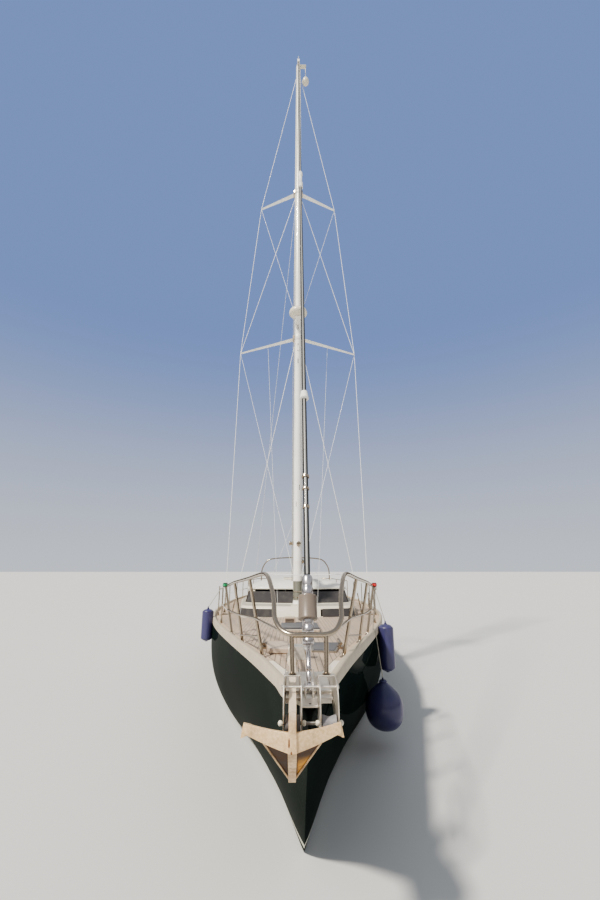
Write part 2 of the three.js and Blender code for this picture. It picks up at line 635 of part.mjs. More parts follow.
function shankSolid(grow) {
  const row = (y) => {
    const [half, deep, z] = [SHANK.half + grow, SHANK.deep + grow, shankHeight(y)];
    return [v(-CHANNEL_X - half, y, z - deep), v(-CHANNEL_X + half, y, z - deep),
      v(-CHANNEL_X + half, y, z + deep), v(-CHANNEL_X - half, y, z + deep)];
  };
  return loft([row(SHANK.front), row(SHANK.aft)]);
}

function bowRoller() {
  const outline = [
    [-7150, 1560], [-7150, 1660], [-7600, 1690], [-7790, CHEEK.top], [-7990, CHEEK.top], [-8070, 1710],
    [-8085, 1600], [-8060, 1510], [-8000, 1480], [-7840, 1500], [-7720, 1540]];
  const cheeks = [-CHEEK.outer, -CHEEK.inner, CHEEK.inner, CHEEK.outer].map((x) => (
    plate(outline, 'x', x - CHEEK.thick / 2, x + CHEEK.thick / 2)));
  const base = block(-CHEEK.outer, CHEEK.outer, -7700, -7160, 1560, 1640);
  const nose = block(-CHEEK.inner, CHEEK.inner, -7960, -7690, 1608, 1622);
  const keeper = rod(
    v(-CHEEK.outer - 16, KEEPER.y, KEEPER.z), v(CHEEK.outer + 16, KEEPER.y, KEEPER.z), 8);
  const axle = rod(
    v(-CHEEK.outer - 22, ROLLER.y, ROLLER.z), v(CHEEK.outer + 22, ROLLER.y, ROLLER.z), ROLLER.axle, 16);
  const lugs = [1, -1].map((side) => block(
    side * LUG.middle - LUG.half, side * LUG.middle + LUG.half, FORESTAY_FOOT.y - 40, FORESTAY_FOOT.y + 60, 1610, 1712));
  const chock = block(-CHANNEL_X - 40, -CHANNEL_X + 40, -7420, -7370, 1620, 1740);
  const pads = block(-CHEEK.outer, CHEEK.outer, -7800, -7690, 1608, 1622);
  return cut(
    onDeck(join(cheeks, base, nose, pads, keeper, axle, lugs, chock)), shankSolid(GAP));
}

function roller(side) {
  const { radius, waist, bore, half } = ROLLER;
  const profile = [
    [bore, -half], [radius, -half], [radius, -half + 10], [waist, -6], [waist, 6], [radius, half - 10],
    [radius, half], [bore, half], [bore, -half]];
  const outline = profile.map(([r, z]) => new THREE.Vector2(r, z));
  const spool = new THREE.LatheGeometry(outline, 12).rotateZ(Math.PI / 2);
  return solidOf(spool.translate(side * CHANNEL_X, ROLLER.y, ROLLER.z));
}

// Anchor: crown, fluke tips and point, measured from the middle of its channel
const ANCHOR = {
  crown: v(0, -8175, 1490), tip: v(288, -8110, 1560), flank: v(168, -8125, 1490), point: v(0, -7790, 1160), thick: 12,
};

function plateThrough(corners, thick) {
  const normal = corners[1].clone().sub(corners[0]).cross(corners[2].clone().sub(corners[0])).normalize();
  const shift = normal.multiplyScalar(thick / 2);
  const rowsOf = (sign) => corners.map((corner) => corner.clone().addScaledVector(shift, sign));
  return loft([rowsOf(-1), rowsOf(1)]);
}

function anchor() {
  const { crown, tip, flank, point, thick } = ANCHOR;
  const wings = [1, -1].map((side) => {
    const end = v(side * flank.x, flank.y, flank.z);
    const low = v(side * 8, crown.y, crown.z - 25);
    return plateThrough([low, end, v(side * 8, point.y, point.z)], thick);
  });
  const rims = [1, -1].map((side) => {
    const [topIn, lowIn] = [v(0, crown.y - 10, crown.z + 55), v(0, crown.y - 10, crown.z - 45)];
    const [topOut, lowOut] = [v(side * tip.x, tip.y, tip.z + 28), v(side * tip.x, tip.y - 8, tip.z - 25)];
    return plateThrough([topIn, lowIn, lowOut, topOut], 22);
  });
  const ends = [1, -1].map((side) => plateThrough([
    v(side * (tip.x - 14), tip.y, tip.z + 26), v(side * (tip.x + 14), tip.y, tip.z - 60),
    v(side * (tip.x - 60), tip.y, tip.z - 25)], 22));
  const beamRow = (y, z, half) => [
    v(-half, y, z - half), v(half, y, z - half), v(half, y + 22, z + half), v(-half, y + 22, z + half)];
  const beam = loft([beamRow(crown.y, crown.z - 10, 27), beamRow(point.y - 10, point.z, 22)]);
  const head = block(-27, 27, crown.y - 30, crown.y + 60, crown.z - 40, shankHeight(SHANK.front) + SHANK.deep);
  const moved = [...wings, ...rims, ...ends, beam, head].map((solid) => (
    solid.translate([-CHANNEL_X, 0, 0])));
  return join(shankSolid(0), moved);
}

const WINDLASS = { y: -6330, height: 1655, top: 1700 };

function windlass() {
  const x = -CHANNEL_X;
  const { y, height, top } = WINDLASS;
  const body = loft([
    [v(x - 70, y - 110, 1540), v(x + 150, y - 110, 1540), v(x + 150, y + 130, 1540), v(x - 70, y + 130, 1540)],
    [v(x - 30, y - 80, top), v(x + 110, y - 80, top), v(x + 110, y + 90, top), v(x - 30, y + 90, top)]]);
  const gypsy = rod(v(x - 40, y, height), v(x + 40, y, height), 58, 16);
  const drum = rod(v(x + 90, y, height), v(x + 190, y, height), 42, 14);
  const chain = rod(v(x, SHANK.aft + 2, shankHeight(SHANK.aft)), v(x, y, height + 45), 15, 6);
  const shackle = block(x - 24, x + 24, SHANK.aft + GAP, SHANK.aft + 40, 1745, 1800);
  return onDeck(join(body, gypsy, drum, chain, shackle));
}

// Rails: columns are distance off the middle, place along the boat and height of the top rail
const PULPIT_RAIL = [
  [1170, -4200, 2185], [900, -5150, 2280], [610, -6150, 2350], [395, -6900, 2412], [330, -7180, 2400],
  [265, -7480, 2250], [248, -7680, 2100], [200, -7760, 2035], [130, -7800, 2010]];
const PULPIT_LEGS = [[1008, -4350, 1150, -4260], [758, -5160, 893, -5170], [424, -6220, 590, -6220]];
const PULPIT_FRONT = { y: -7798, z: 2008 };
const TUBE = 14;

const topRailAt = (y) => {
  const i = PULPIT_RAIL.findIndex((row) => row[1] < y);
  const [a, b] = [PULPIT_RAIL[i - 1], PULPIT_RAIL[i]];
  return a[2] + ((y - a[1]) / (b[1] - a[1])) * (b[2] - a[2]);
};

function pulpit() {
  const port = PULPIT_RAIL.map(([x, y, z]) => v(x, y, z));
  const rail = tube([...port, ...port.slice().reverse().map(mirrored)], TUBE, 4);
  const legs = [1, -1].flatMap((side) => PULPIT_LEGS.map(([footX, footY, topX, topY]) => rod(
    v(side * footX, footY, 1450), v(side * topX, topY, topRailAt(topY)), TUBE)));
  const middle = [1, -1].map((side) => spans([
    v(side * 1100, -4300, 1860), v(side * 832, -5165, 1880), v(side * 520, -6220, 1950),
    v(side * 170, -7765, 2020)], 11));
  const low = [1, -1].map((side) => rod(v(side * 790, -5160, 1630), v(side * 468, -6220, 1770), 9, 6));
  const { outer } = CHEEK;
  const front = [1, -1].map((side) => rod(
    v(side * 125, PULPIT_FRONT.y, PULPIT_FRONT.z), v(side * outer, PULPIT_FRONT.y - 50, CHEEK.top - 30), 11));
  const seat = block(-outer - 50, outer + 50, -7990, -7700, 1500, CHEEK.top + GAP);
  return cut(onDeck(join(rail, legs, middle, low, front)), seat);
}

const RAIL_INSET = 120;
const STANCHIONS = [-2600, -900, 900, 2700, 4300];
const RAIL_HEIGHT = 640;
const railX = (y) => halfBeam(y) - RAIL_INSET;
const railPoint = (side, y, lift) => v(side * railX(y), y, deckHeight(railX(y), y) + lift);

const LINE_START = [1185, -4182, 2185];

// A point on the upper lifeline, which runs straight from post to post
function wireAt(side, y) {
  const [bowX, bowY, bowZ] = LINE_START;
  const points = [v(side * bowX, bowY, bowZ), ...STANCHIONS.map((at) => railPoint(side, at, RAIL_HEIGHT - 12))];
  const next = Math.max(1, points.findIndex((point) => point.y > y));
  const [a, b] = [points[next - 1], points[next]];
  return a.clone().lerp(b, Math.max(0, (y - a.y) / (b.y - a.y)));
}

function lifelines(side) {
  const posts = STANCHIONS.map((y) => rod(railPoint(side, y, -30), railPoint(side, y, RAIL_HEIGHT), 12));
  const aft = 5400 - TUBE - 8;
  const wire = (lift, bow) => spans([
    bow, ...STANCHIONS.map((y) => railPoint(side, y, lift)), railPoint(side, aft, lift)], 4);
  return onDeck(join(
    posts,
    wire(RAIL_HEIGHT - 12, v(side * LINE_START[0], LINE_START[1], LINE_START[2])),
    wire(330, v(side * 1118, -4285, 1860))));
}

function pushpit(side) {
  const stern = v(side * 1180, 7560, deckHeight(1180, 7560) + RAIL_HEIGHT);
  const corner = v(side * 1600, 7480, stern.z);
  const rail = tube([
    railPoint(side, 5400, RAIL_HEIGHT), railPoint(side, 6400, RAIL_HEIGHT), railPoint(side, 7250, RAIL_HEIGHT),
    corner, stern], TUBE);
  const lower = spans([
    railPoint(side, 5400, 330), railPoint(side, 6400, 330), railPoint(side, 7250, 330),
    corner.clone().setZ(1745), stern.clone().setZ(1745)], 10);
  const feet = [railPoint(side, 5400, 0), railPoint(side, 6400, 0), railPoint(side, 7250, 0), stern];
  const legs = feet.map((foot) => rod(
    foot.clone().setZ(1330), foot.clone().setZ(deckHeight(Math.abs(foot.x), foot.y) + RAIL_HEIGHT), TUBE));
  return onDeck(join(rail, lower, legs));
}

const ARCH = { y: 4650, x: 1260, top: 2850 };

function cockpitArch() {
  const { x, y, top } = ARCH;
  return onDeck(tube([
    v(x, y, 1340), v(x, y, 1900), v(x - 20, y, 2500), v(x - 230, y, 2800), v(x - 600, y, top),
    v(0, y, top + 25), v(-x + 600, y, top), v(-x + 230, y, 2800), v(-x + 20, y, 2500),
    v(-x, y, 1900), v(-x, y, 1340)], 20));
}

// Masthead and mast fittings
function radome() {
  const { radius, height } = RADOME;
  const profile = [
    [0, -height / 2], [radius * 0.62, -height / 2], [radius * 0.98, -height * 0.22], [radius, height * 0.02],
    [radius * 0.9, height * 0.3], [radius * 0.55, height * 0.47], [0, height / 2]];
  return turned(profile, v(0, RADOME.y, RADOME.z), 20);
}

function mastheadGear() {
  const top = MAST_TOP + 25 + GAP;
  const foot = block(-30, 260, MAST_Y - 60, MAST_Y + 60, top, top + 16);
  const aerial = rod(v(0, MAST_Y, top), v(0, MAST_Y, top + 520), 7, 6);
  const vane = block(-6, 6, MAST_Y - 220, MAST_Y + 60, top + 130, top + 150);
  const arm = rod(v(240, MAST_Y, top + 8), v(240, MAST_Y, top - 620), 9, 6);
  const reflector = ball(v(240, MAST_Y, top - 720), 115, 115, 165);
  return join(foot, aerial, vane, arm, reflector);
}

const CLEATS = { bow: [-5650, 260], stern: [6850, 230] };

function cleat(place, side) {
  const [y, inboard] = CLEATS[place];
  const x = side * (halfBeam(y) - inboard);
  const deckTop = deckHeight(x, y);
  const foot = block(x - 30, x + 30, y - 70, y + 70, deckTop - 40, deckTop + 22);
  const posts = [-45, 45].map((along) => rod(v(x, y + along, deckTop), v(x, y + along, deckTop + 60), 13));
  const horns = block(x - 15, x + 15, y - 150, y + 150, deckTop + 55, deckTop + 80);
  return onDeck(join(foot, posts, horns));
}

// Columns: radius, half-height, place along the boat, height of the middle, side,
// and the share of the half-height above the middle at which the body meets the hull
const FENDERS = {
  ball_port: [272, 350, -4220, 547, 1, 0.25],
  long_port: [125, 365, -3600, 1215, 1, 0.8],
  long_starboard: [115, 310, -1900, 1360, -1, 0.8],
};

const LANYARD = 6;

// A lanyard forward of y is made fast at this x and z on the pulpit's end.
const LASHING = { y: -4100, x: 1184, z: 2180 };

function fender(name) {
  const [radius, half, y, z, side, meets] = FENDERS[name];
  const { sheer } = stationAt(y);
  const touch = Math.min(z + half * meets, sheer - 5);
  const x = side * (Math.max(sideAt(y, z), sideAt(y, touch)) + radius + 6);
  const round = name.startsWith('ball');
  const profile = round
    ? [0, 0.55, 0.87, 0.99, 0.99, 0.88, 0.66, 0.38, 0.14].map((r, i) => (
      [radius * r, -half * 0.88 + (half * 1.8 * i) / 8]))
    : [[0, -half], [radius * 0.35, -half], [radius, -half * 0.78], [radius, half * 0.78],
      [radius * 0.35, half * 0.95]];
  const eye = [[radius * 0.14, half], [0, half]];
  const body = turned([...profile, ...eye], v(x, y, z), 14);
  const rail = y < LASHING.y ? v(side * LASHING.x, y, LASHING.z) : wireAt(side, y);
  const hung = rail.clone().add(v(side * 7.5, 0, -9.9));
  const railTop = sheer + TOE_RAIL.height;
  const over = v(side * (halfBeam(y) - 24), y, railTop + LANYARD + 3);
  const outside = v(side * (halfBeam(y) + 11), y, railTop + 6);
  const top = v(x, y, z + half - 10);
  const knot = (centre) => ball(centre, LANYARD + 2.4);
  if (top.z > railTop) return join(body, rod(top, hung, LANYARD), knot(hung));
  return join(body, spans([top, outside, over, hung], LANYARD), knot(over), knot(hung));
}

function foreHatch() {
  const { x, front, aft, rim, lid } = FORE_HATCH;
  const cover = block(-x + 5, x - 5, front + 5, aft - 5, rim + 0.5, rim + lid);
  const handle = block(-60, 60, aft - 60, aft - 40, rim + lid - 2, rim + lid + 14);
  return join(cover, handle);
}

// Colour, roughness and metalness of each finish
const FINISHES = {
  topsides: [0x10201c, 0.15, 0], teak: [0xb9a491, 0.7, 0], rail: [0xc9c2b4, 0.6, 0],
  white: [0xeeeae2, 0.35, 0], antifoul: [0x1d2733, 0.8, 0], steel: [0xc4c6c6, 0.2, 1],
  galvanised: [0xb8a58a, 0.6, 0.4], glass: [0x20262c, 0.05, 0], bronze: [0x8a6a3c, 0.35, 1],
  black: [0x17191b, 0.3, 0], navy: [0x2b2f57, 0.6, 0], mast: [0xe8e6e0, 0.4, 0], engine: [0x9aa3a8, 0.6, 0],
};

const yacht = new THREE.Group();

function add(name, solid, finish) {
  const [color, roughness, metalness] = FINISHES[finish];
  const mesh = new THREE.Mesh(
    geometryOf(solid), new THREE.MeshStandardMaterial({ color, roughness, metalness }));
  mesh.name = name;
  yacht.add(mesh);
}

const SIDES = [['port', 1], ['starboard', -1]];

add('hull', hull(), 'topsides');
add('deck', deck(), 'teak');
add('keel', keel(), 'antifoul');
add('rudder', rudder(), 'antifoul');
add('shaft_and_bracket', shaftAndBracket(), 'bronze');
add('propeller', propeller(), 'bronze');
add('engine', engine(), 'engine');
add('coachroof', coachroof(), 'white');
add('deckhouse_roof', deckhouseRoof(), 'white');
add('windscreen', glass(-1400, -470, SCREEN.low - 25, DECKHOUSE_TOP - 15, 0), 'glass');
add('coachroof_windows', glass(-2100, -980, LOW_WINDOW.low - 20, LOW_WINDOW.high + 0.5, 0), 'glass');
add('companionway_slide', companionwaySlide(), 'white');
add('cockpit_coaming', cockpitCoaming(), 'white');
add('steering_pedestal', steeringPedestal(), 'white');
add('steering_wheel', steeringWheel(), 'steel');
add('mast', mast(), 'mast');
add('boom', boom(), 'mast');
add('backstay', backstay(), 'steel');
add('forestay_foot', forestayFoot(), 'steel');
add('furler_drum', furlerDrum(), 'steel');
add('forestay_foil', forestayFoil(), 'black');
add('forestay_head', forestayHead(), 'steel');
add('bow_roller', bowRoller(), 'steel');
add('anchor', anchor(), 'galvanised');
add('windlass', windlass(), 'steel');
add('pulpit', pulpit(), 'steel');
add('cockpit_arch', cockpitArch(), 'steel');
add('radome', radome(), 'white');
add('masthead_gear', mastheadGear(), 'white');
add('fore_hatch', foreHatch(), 'glass');
SIDES.forEach(([name, side]) => {
  add(`toe_rail_${name}`, toeRail(side), 'rail');
  add(`side_glass_${name}`, glass(-440, 2450, SCREEN.low - 25, DECKHOUSE_TOP - 15, side), 'glass');
  add(`companionway_door_${name}`, companionwayDoor(side), 'white');
  add(`winch_${name}`, winch(side), 'steel');
  add(`lower_spreader_${name}`, spreader('lower', side), 'mast');
  add(`upper_spreader_${name}`, spreader('upper', side), 'mast');
  add(`shrouds_${name}`, onDeck(cut(shrouds(side, 0), mastBody(GAP))), 'steel');
  add(`bow_roller_wheel_${name}`, roller(side), 'black');
  add(`lifelines_${name}`, lifelines(side), 'steel');
  add(`pushpit_${name}`, pushpit(side), 'steel');
  Object.keys(CLEATS).forEach((place) => add(`${place}_cleat_${name}`, cleat(place, side), 'steel'));
});
Object.keys(FENDERS).forEach((name) => add(`fender_${name}`, fender(name), 'navy'));

export default yacht;
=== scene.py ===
"""Looks of an ocean-going sailing yacht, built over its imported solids.

Metres. +Z is up, z = 0 is the waterline, the bow points to -Y and port is +X.
"""

import json
import math
from contextlib import contextmanager

import bmesh
import bpy
import numpy as np
from bpy.props import FloatProperty, FloatVectorProperty, PointerProperty
from bpy.types import Operator, Panel, PropertyGroup
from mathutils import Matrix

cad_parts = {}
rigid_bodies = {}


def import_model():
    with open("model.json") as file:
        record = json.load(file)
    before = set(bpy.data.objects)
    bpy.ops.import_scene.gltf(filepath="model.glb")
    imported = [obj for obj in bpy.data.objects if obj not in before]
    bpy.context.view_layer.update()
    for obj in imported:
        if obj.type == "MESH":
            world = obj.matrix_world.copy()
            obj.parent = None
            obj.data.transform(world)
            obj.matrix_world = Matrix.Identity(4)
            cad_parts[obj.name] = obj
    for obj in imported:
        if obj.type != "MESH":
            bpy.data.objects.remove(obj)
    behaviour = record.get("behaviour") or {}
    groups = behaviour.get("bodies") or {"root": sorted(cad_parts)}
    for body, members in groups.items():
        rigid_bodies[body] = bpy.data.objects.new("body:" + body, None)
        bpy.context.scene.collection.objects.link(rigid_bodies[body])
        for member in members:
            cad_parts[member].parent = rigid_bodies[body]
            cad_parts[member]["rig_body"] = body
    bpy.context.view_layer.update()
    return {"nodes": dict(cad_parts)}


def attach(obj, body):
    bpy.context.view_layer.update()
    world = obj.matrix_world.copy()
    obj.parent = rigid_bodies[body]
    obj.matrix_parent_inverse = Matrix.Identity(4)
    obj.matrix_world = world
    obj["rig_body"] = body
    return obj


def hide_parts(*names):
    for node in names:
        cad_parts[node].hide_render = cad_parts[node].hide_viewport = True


bl_info = {
    "name": "Sailing yacht",
    "version": (1, 0, 0),
    "blender": (4, 5, 0),
    "location": "View3D > Sidebar > Yacht",
    "description": "Builds the finished surfaces and materials of a sailing yacht",
    "category": "Object",
}

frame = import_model()


# ---------------------------------------------------------------- shapes

SIDES = (("port", 1), ("starboard", -1))
DOME_HEIGHT = 0.6  # height of a tube's domed end over its radius
SOLID_JOIN = 1e-5  # distance under which the points of a solid's copy are joined
FLAT_ANGLE = 0.8  # degrees between two faces under which they become one
EDGE_ANGLE = 35  # degrees between two faces from which a bevel eases their edge


def vec(*numbers):
    return np.array(numbers, float)


def unit(a):
    """a divided by its length, along the last axis."""
    return a / np.maximum(np.linalg.norm(a, axis=-1, keepdims=True), 1e-12)


def cubic(t, a, b, slope_a, slope_b):
    """(2t^3 - 3t^2 + 1) a + (t^3 - 2t^2 + t) slope_a + (3t^2 - 2t^3) b + (t^3 - t^2) slope_b, which
    runs from a to b as t runs from 0 to 1."""
    return ((2 * t**3 - 3 * t**2 + 1) * a + (t**3 - 2 * t**2 + t) * slope_a
            + (3 * t**2 - 2 * t**3) * b + (t**3 - t**2) * slope_b)


def curve_through(points, per_span=8):
    """A smooth path through the points: a cubic on each span, whose slopes are half the way
    between the neighbours."""
    p = np.asarray(points, float)
    m = np.gradient(p, axis=0)
    u = np.linspace(0, len(p) - 1, (len(p) - 1) * per_span + 1)
    i = np.minimum(u.astype(int), len(p) - 2)
    t = (u - i)[:, None]
    return cubic(t, p[i], p[i + 1], m[i], m[i + 1])


def rounded(points, radius, per_corner=6):
    """A path of straight spans whose corners are the parabola (1-t)^2 a + 2t(1-t) c + t^2 b
    between the points a and b that lie radius before and after the corner c."""
    p = np.asarray(points, float)
    corner, before, after = p[1:-1], p[:-2], p[2:]
    reach = np.minimum(radius, 0.45 * np.minimum(
        np.linalg.norm(corner - before, axis=1), np.linalg.norm(after - corner, axis=1)))[:, None]
    a, b = corner + unit(before - corner) * reach, corner + unit(after - corner) * reach
    t = np.linspace(0, 1, per_corner)[None, :, None]
    arcs = (1 - t)**2 * a[:, None] + 2 * t * (1 - t) * corner[:, None] + t**2 * b[:, None]
    return np.vstack([p[:1], arcs.reshape(-1, 3), p[-1:]])


def grid(rows, wrap=True):
    """Points of an m by n grid and its quads; with wrap the last column joins the first."""
    m, n = rows.shape[:2]
    i, j = np.meshgrid(np.arange(m - 1), np.arange(n if wrap else n - 1), indexing="ij")
    k = (j + 1) % n
    quads = np.stack([i * n + j, i * n + k, (i + 1) * n + k, (i + 1) * n + j], -1).reshape(-1, 4)
    return rows.reshape(-1, 3), quads


def closed_rows(rows):
    """Rows of a tube with a point added at each end, which closes it."""
    ends = [np.repeat(r.mean(0)[None, None], rows.shape[1], 1) for r in (rows[0], rows[-1])]
    return np.concatenate([ends[0], rows, ends[1]])


def across_of(path):
    """Two unit vectors across each point of the path: n = t x r and b = t x n, where t is the
    path's direction and r the direction that it follows least."""
    t = unit(np.gradient(path, axis=0))
    r = np.linalg.svd(t)[2][-1]
    n = unit(np.cross(t, r))
    return n, np.cross(t, n)


def sweep(path, radius, sides=12, round_ends=True):
    """A tube: path + radius (n cos a + b sin a). A domed end is a row at each share q of its
    height, with the radius times sqrt(1 - q^2)."""
    path = np.asarray(path, float)
    radius = np.broadcast_to(np.asarray(radius, float), (len(path),))
    n, b = across_of(path)
    a = np.linspace(0, 2 * math.pi, sides, endpoint=False)[None, :, None]
    rows = path[:, None] + radius[:, None, None] * (
        n[:, None] * np.cos(a) + b[:, None] * np.sin(a))
    if round_ends:
        t = unit(np.gradient(path, axis=0))
        q = np.array([0.35, 0.75, 0.98])[:, None, None]
        ring, rise = np.sqrt(1 - q**2), q * DOME_HEIGHT
        low = path[0] + (rows[0] - path[0])[None] * ring - t[0] * radius[0] * rise
        high = path[-1] + (rows[-1] - path[-1])[None] * ring + t[-1] * radius[-1] * rise
        rows = np.concatenate([low[::-1], rows, high])
    return grid(closed_rows(rows))


def turned(profile, foot, axis=(0, 0, 1), sides=32, squash=1.0):
    """A turned form: foot + h axis + r (n cos a + b squash sin a) for each (r, h) of the profile."""
    profile = np.asarray(profile, float)
    axis = unit(np.asarray(axis, float))
    n = unit(np.cross(axis, vec(1, 0, 0) if abs(axis[0]) < 0.7 else vec(0, 1, 0)))
    b = np.cross(axis, n)
    a = np.linspace(0, 2 * math.pi, sides, endpoint=False)[None, :, None]
    r, h = profile[:, 0][:, None, None], profile[:, 1][:, None, None]
    rows = np.asarray(foot, float) + h * axis + r * (n * np.cos(a) + squash * b * np.sin(a))
    return grid(closed_rows(rows))


def slab(outline, direction):
    """A plate: its outline's points, and the same points moved by direction."""
    outline = np.asarray(outline, float)
    return grid(closed_rows(np.stack([outline, outline + np.asarray(direction, float)])))


def brick(low, high):
    """A block between two corners."""
    (x0, y0, z0), (x1, y1, z1) = low, high
    return slab([(x0, y0, z0), (x1, y0, z0), (x1, y1, z0), (x0, y1, z0)], (0, 0, z1 - z0))


def gather(shapes):
    """Points and quads of several shapes as one."""
    points, quads, start = [], [], 0
    for p, q in shapes:
        points.append(p)
        quads.append(q + start)
        start += len(p)
    return np.concatenate(points), np.concatenate(quads)


def mirrored(shape):
    """The shape on the other side of the boat: x becomes -x."""
    return shape[0] * vec(-1, 1, 1), shape[1][:, ::-1]


def both(shapes):
    """The shapes and their mirror images."""
    return shapes + [mirrored(shape) for shape in shapes]


def pole(a, b, radius, sides=16):
    """A straight round bar between two points."""
    return sweep(np.linspace(a, b, 2), radius, sides, round_ends=False)


def disc(foot, axis, radius, height, edge=0.002, sides=24):
    """A round plate with its top edge eased."""
    return turned([(radius, 0), (radius, height - edge), (radius - edge, height)], foot, axis, sides)


def triples(parts, key):
    """A property of three numbers of every point or face of a mesh, as rows."""
    values = np.empty(len(parts) * 3)
    parts.foreach_get(key, values)
    return values.reshape(-1, 3)


def reach_of(node):
    """The lowest and highest corner of a solid."""
    points = triples(frame["nodes"][node].data.vertices, "co")
    return points.min(0), points.max(0)


@contextmanager
def opened(mesh):
    """The mesh as a bmesh, written back at the end."""
    work = bmesh.new()
    work.from_mesh(mesh)
    yield work
    work.to_mesh(mesh)
    work.free()


def smooth(mesh, angle):
    """Smooth faces, with the edges over the angle in degrees kept sharp."""
    mesh.shade_smooth()
    mesh.set_sharp_from_angle(angle=math.radians(angle))


def surface(name, points, quads, angle):
    """A mesh with its points joined, its faces turned outwards and its sharp edges kept."""
    mesh = bpy.data.meshes.new(name)
    mesh.from_pydata(points.tolist(), [], quads.tolist())
    with opened(mesh) as work:
        bmesh.ops.remove_doubles(work, verts=work.verts, dist=1e-6)
        bmesh.ops.dissolve_degenerate(work, edges=work.edges, dist=1e-7)
        bmesh.ops.recalc_face_normals(work, faces=work.faces)
    smooth(mesh, angle)
    return mesh


def place(name, mesh, material, body="yacht", replaces=(), bevel=0.0, segments=2):
    """Puts the mesh in the scene as a piece that rides on a body."""
    piece = bpy.data.objects.new(name, mesh)
    bpy.context.scene.collection.objects.link(piece)
    mesh.materials.clear()
    mesh.materials.append(finish_of(material))
    if bevel:
        edge = piece.modifiers.new("edges", "BEVEL")
        edge.width = bevel
        edge.segments = segments
        edge.limit_method = "ANGLE"
        edge.angle_limit = math.radians(EDGE_ANGLE)
        edge.harden_normals = True
    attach(piece, body)
    if replaces:
        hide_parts(*replaces)


def build(name, shapes, material, body="yacht", replaces=(), bevel=0.0, angle=35,
          segments=2):
    """A piece from one or more worked-out shapes."""
    mesh = surface(name, *gather(shapes if isinstance(shapes, list) else [shapes]), angle)
    place(name, mesh, material, body, replaces, bevel, segments)


def dress(node, material, bevel=0.002, angle=30, segments=2):
    """A solid's surface with its points joined, its flats made whole and its edges eased."""
    source = frame["nodes"][node]
    mesh = source.data.copy()
    with opened(mesh) as work:
        bmesh.ops.remove_doubles(work, verts=work.verts, dist=SOLID_JOIN)
        bmesh.ops.dissolve_limit(
            work, angle_limit=math.radians(FLAT_ANGLE), verts=work.verts, edges=work.edges)
    if "custom_normal" in mesh.attributes:
        mesh.attributes.remove(mesh.attributes["custom_normal"])
    smooth(mesh, angle)
    mesh.name = node + "_finish"
    place(mesh.name, mesh, material, source["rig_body"], (node,), bevel, segments)


# ---------------------------------------------------------------- finishes

STRIPE_SOFT = 0.002  # half the height over which the hull's light line fades
BOOT_TOP = (0.055, 0.035)  # heights between which the paint gives way to antifouling
MAST_FOOT, MAST_SOFT = (1.80, 2.20), 0.01  # lowest painted part of the mast, and its soft ends
CURVE_TOP = 2.5  # half-beam at the top of the deck's curve
BOARD_LENGTH = 2.3
WOOD_GRAIN = (38.0, 4, 0.65, (1, 0.06, 1))  # scale, detail, roughness and stretch of its noise
HATCH_Y, HATCH_RIM = -4.0, 0.302  # middle of the fore hatch, and half-width with its rim
# Off the middle, height, half-width and half-height of the anchor's rust marks
RUST_MARKS = ((-0.132, 1.505, 0.007, 0.030), (-0.119, 1.455, 0.007, 0.012))


class Nodes:
    """Places and joins the shader nodes of one material or group."""

    def __init__(self, tree):
        self.tree = tree

    def feed(self, node, inputs):
        """Sets each input of the node to its value, or joins it to the given socket."""
        for key, value in inputs.items():
            if isinstance(value, bpy.types.NodeSocket):
                self.tree.links.new(value, node.inputs[key])
            else:
                node.inputs[key].default_value = value
        return node

    def add(self, kind, inputs=None, **settings):
        node = self.tree.nodes.new(kind)
        for key, value in settings.items():
            setattr(node, key, value)
        return self.feed(node, inputs or {})

    def math(self, operation, a, b=0.0, c=0.0):
        return self.add("ShaderNodeMath", {0: a, 1: b, 2: c}, operation=operation).outputs[0]

    def plus(self, a, b):
        return self.math("ADD", a, b)

    def minus(self, a, b):
        return self.math("SUBTRACT", a, b)

    def times(self, a, b):
        return self.math("MULTIPLY", a, b)

    def over(self, a, b):
        return self.math("DIVIDE", a, b)

    def larger(self, a, b):
        return self.math("MAXIMUM", a, b)

    def absolute(self, a):
        return self.math("ABSOLUTE", a)

    def off_middle(self, a):
        """How far the value's fraction is from a half: most at each whole number."""
        return self.absolute(self.minus(self.math("FRACT", a), 0.5))

    def between(self, value, low, high, to_low=0.0, to_high=1.0, smooth=True):
        return self.add(
            "ShaderNodeMapRange", {0: value, 1: low, 2: high, 3: to_low, 4: to_high},
            interpolation_type="SMOOTHSTEP" if smooth else "LINEAR").outputs[0]

    def band(self, value, low, high, soft):
        """1 between low and high, falling to 0 over the distance soft on both sides of each."""
        return self.times(self.between(value, low - soft, low + soft),
                          self.between(value, high + soft, high - soft))

    def mix(self, share, a, b):
        a, b = (c if isinstance(c, bpy.types.NodeSocket) else (*c, 1.0)[:4] for c in (a, b))
        return self.add("ShaderNodeMix", {0: share, 6: a, 7: b}, data_type="RGBA").outputs[2]

    def noise(self, at, scale, detail=3.0, rough=0.55, stretch=(1, 1, 1)):
        moved = self.add("ShaderNodeMapping", {"Vector": at, "Scale": stretch}).outputs[0]
        return self.add("ShaderNodeTexNoise", {
            "Vector": moved, "Scale": scale, "Detail": detail, "Roughness": rough}).outputs[0]

    def bump(self, height, strength, distance, normal=None):
        inputs = {"Strength": strength, "Distance": distance, "Height": height}
        if normal is not None:
            inputs["Normal"] = normal
        return self.add("ShaderNodeBump", inputs).outputs[0]

    def group(self, name, inputs):
        return self.add("ShaderNodeGroup", inputs, node_tree=GROUPS[name]()).outputs


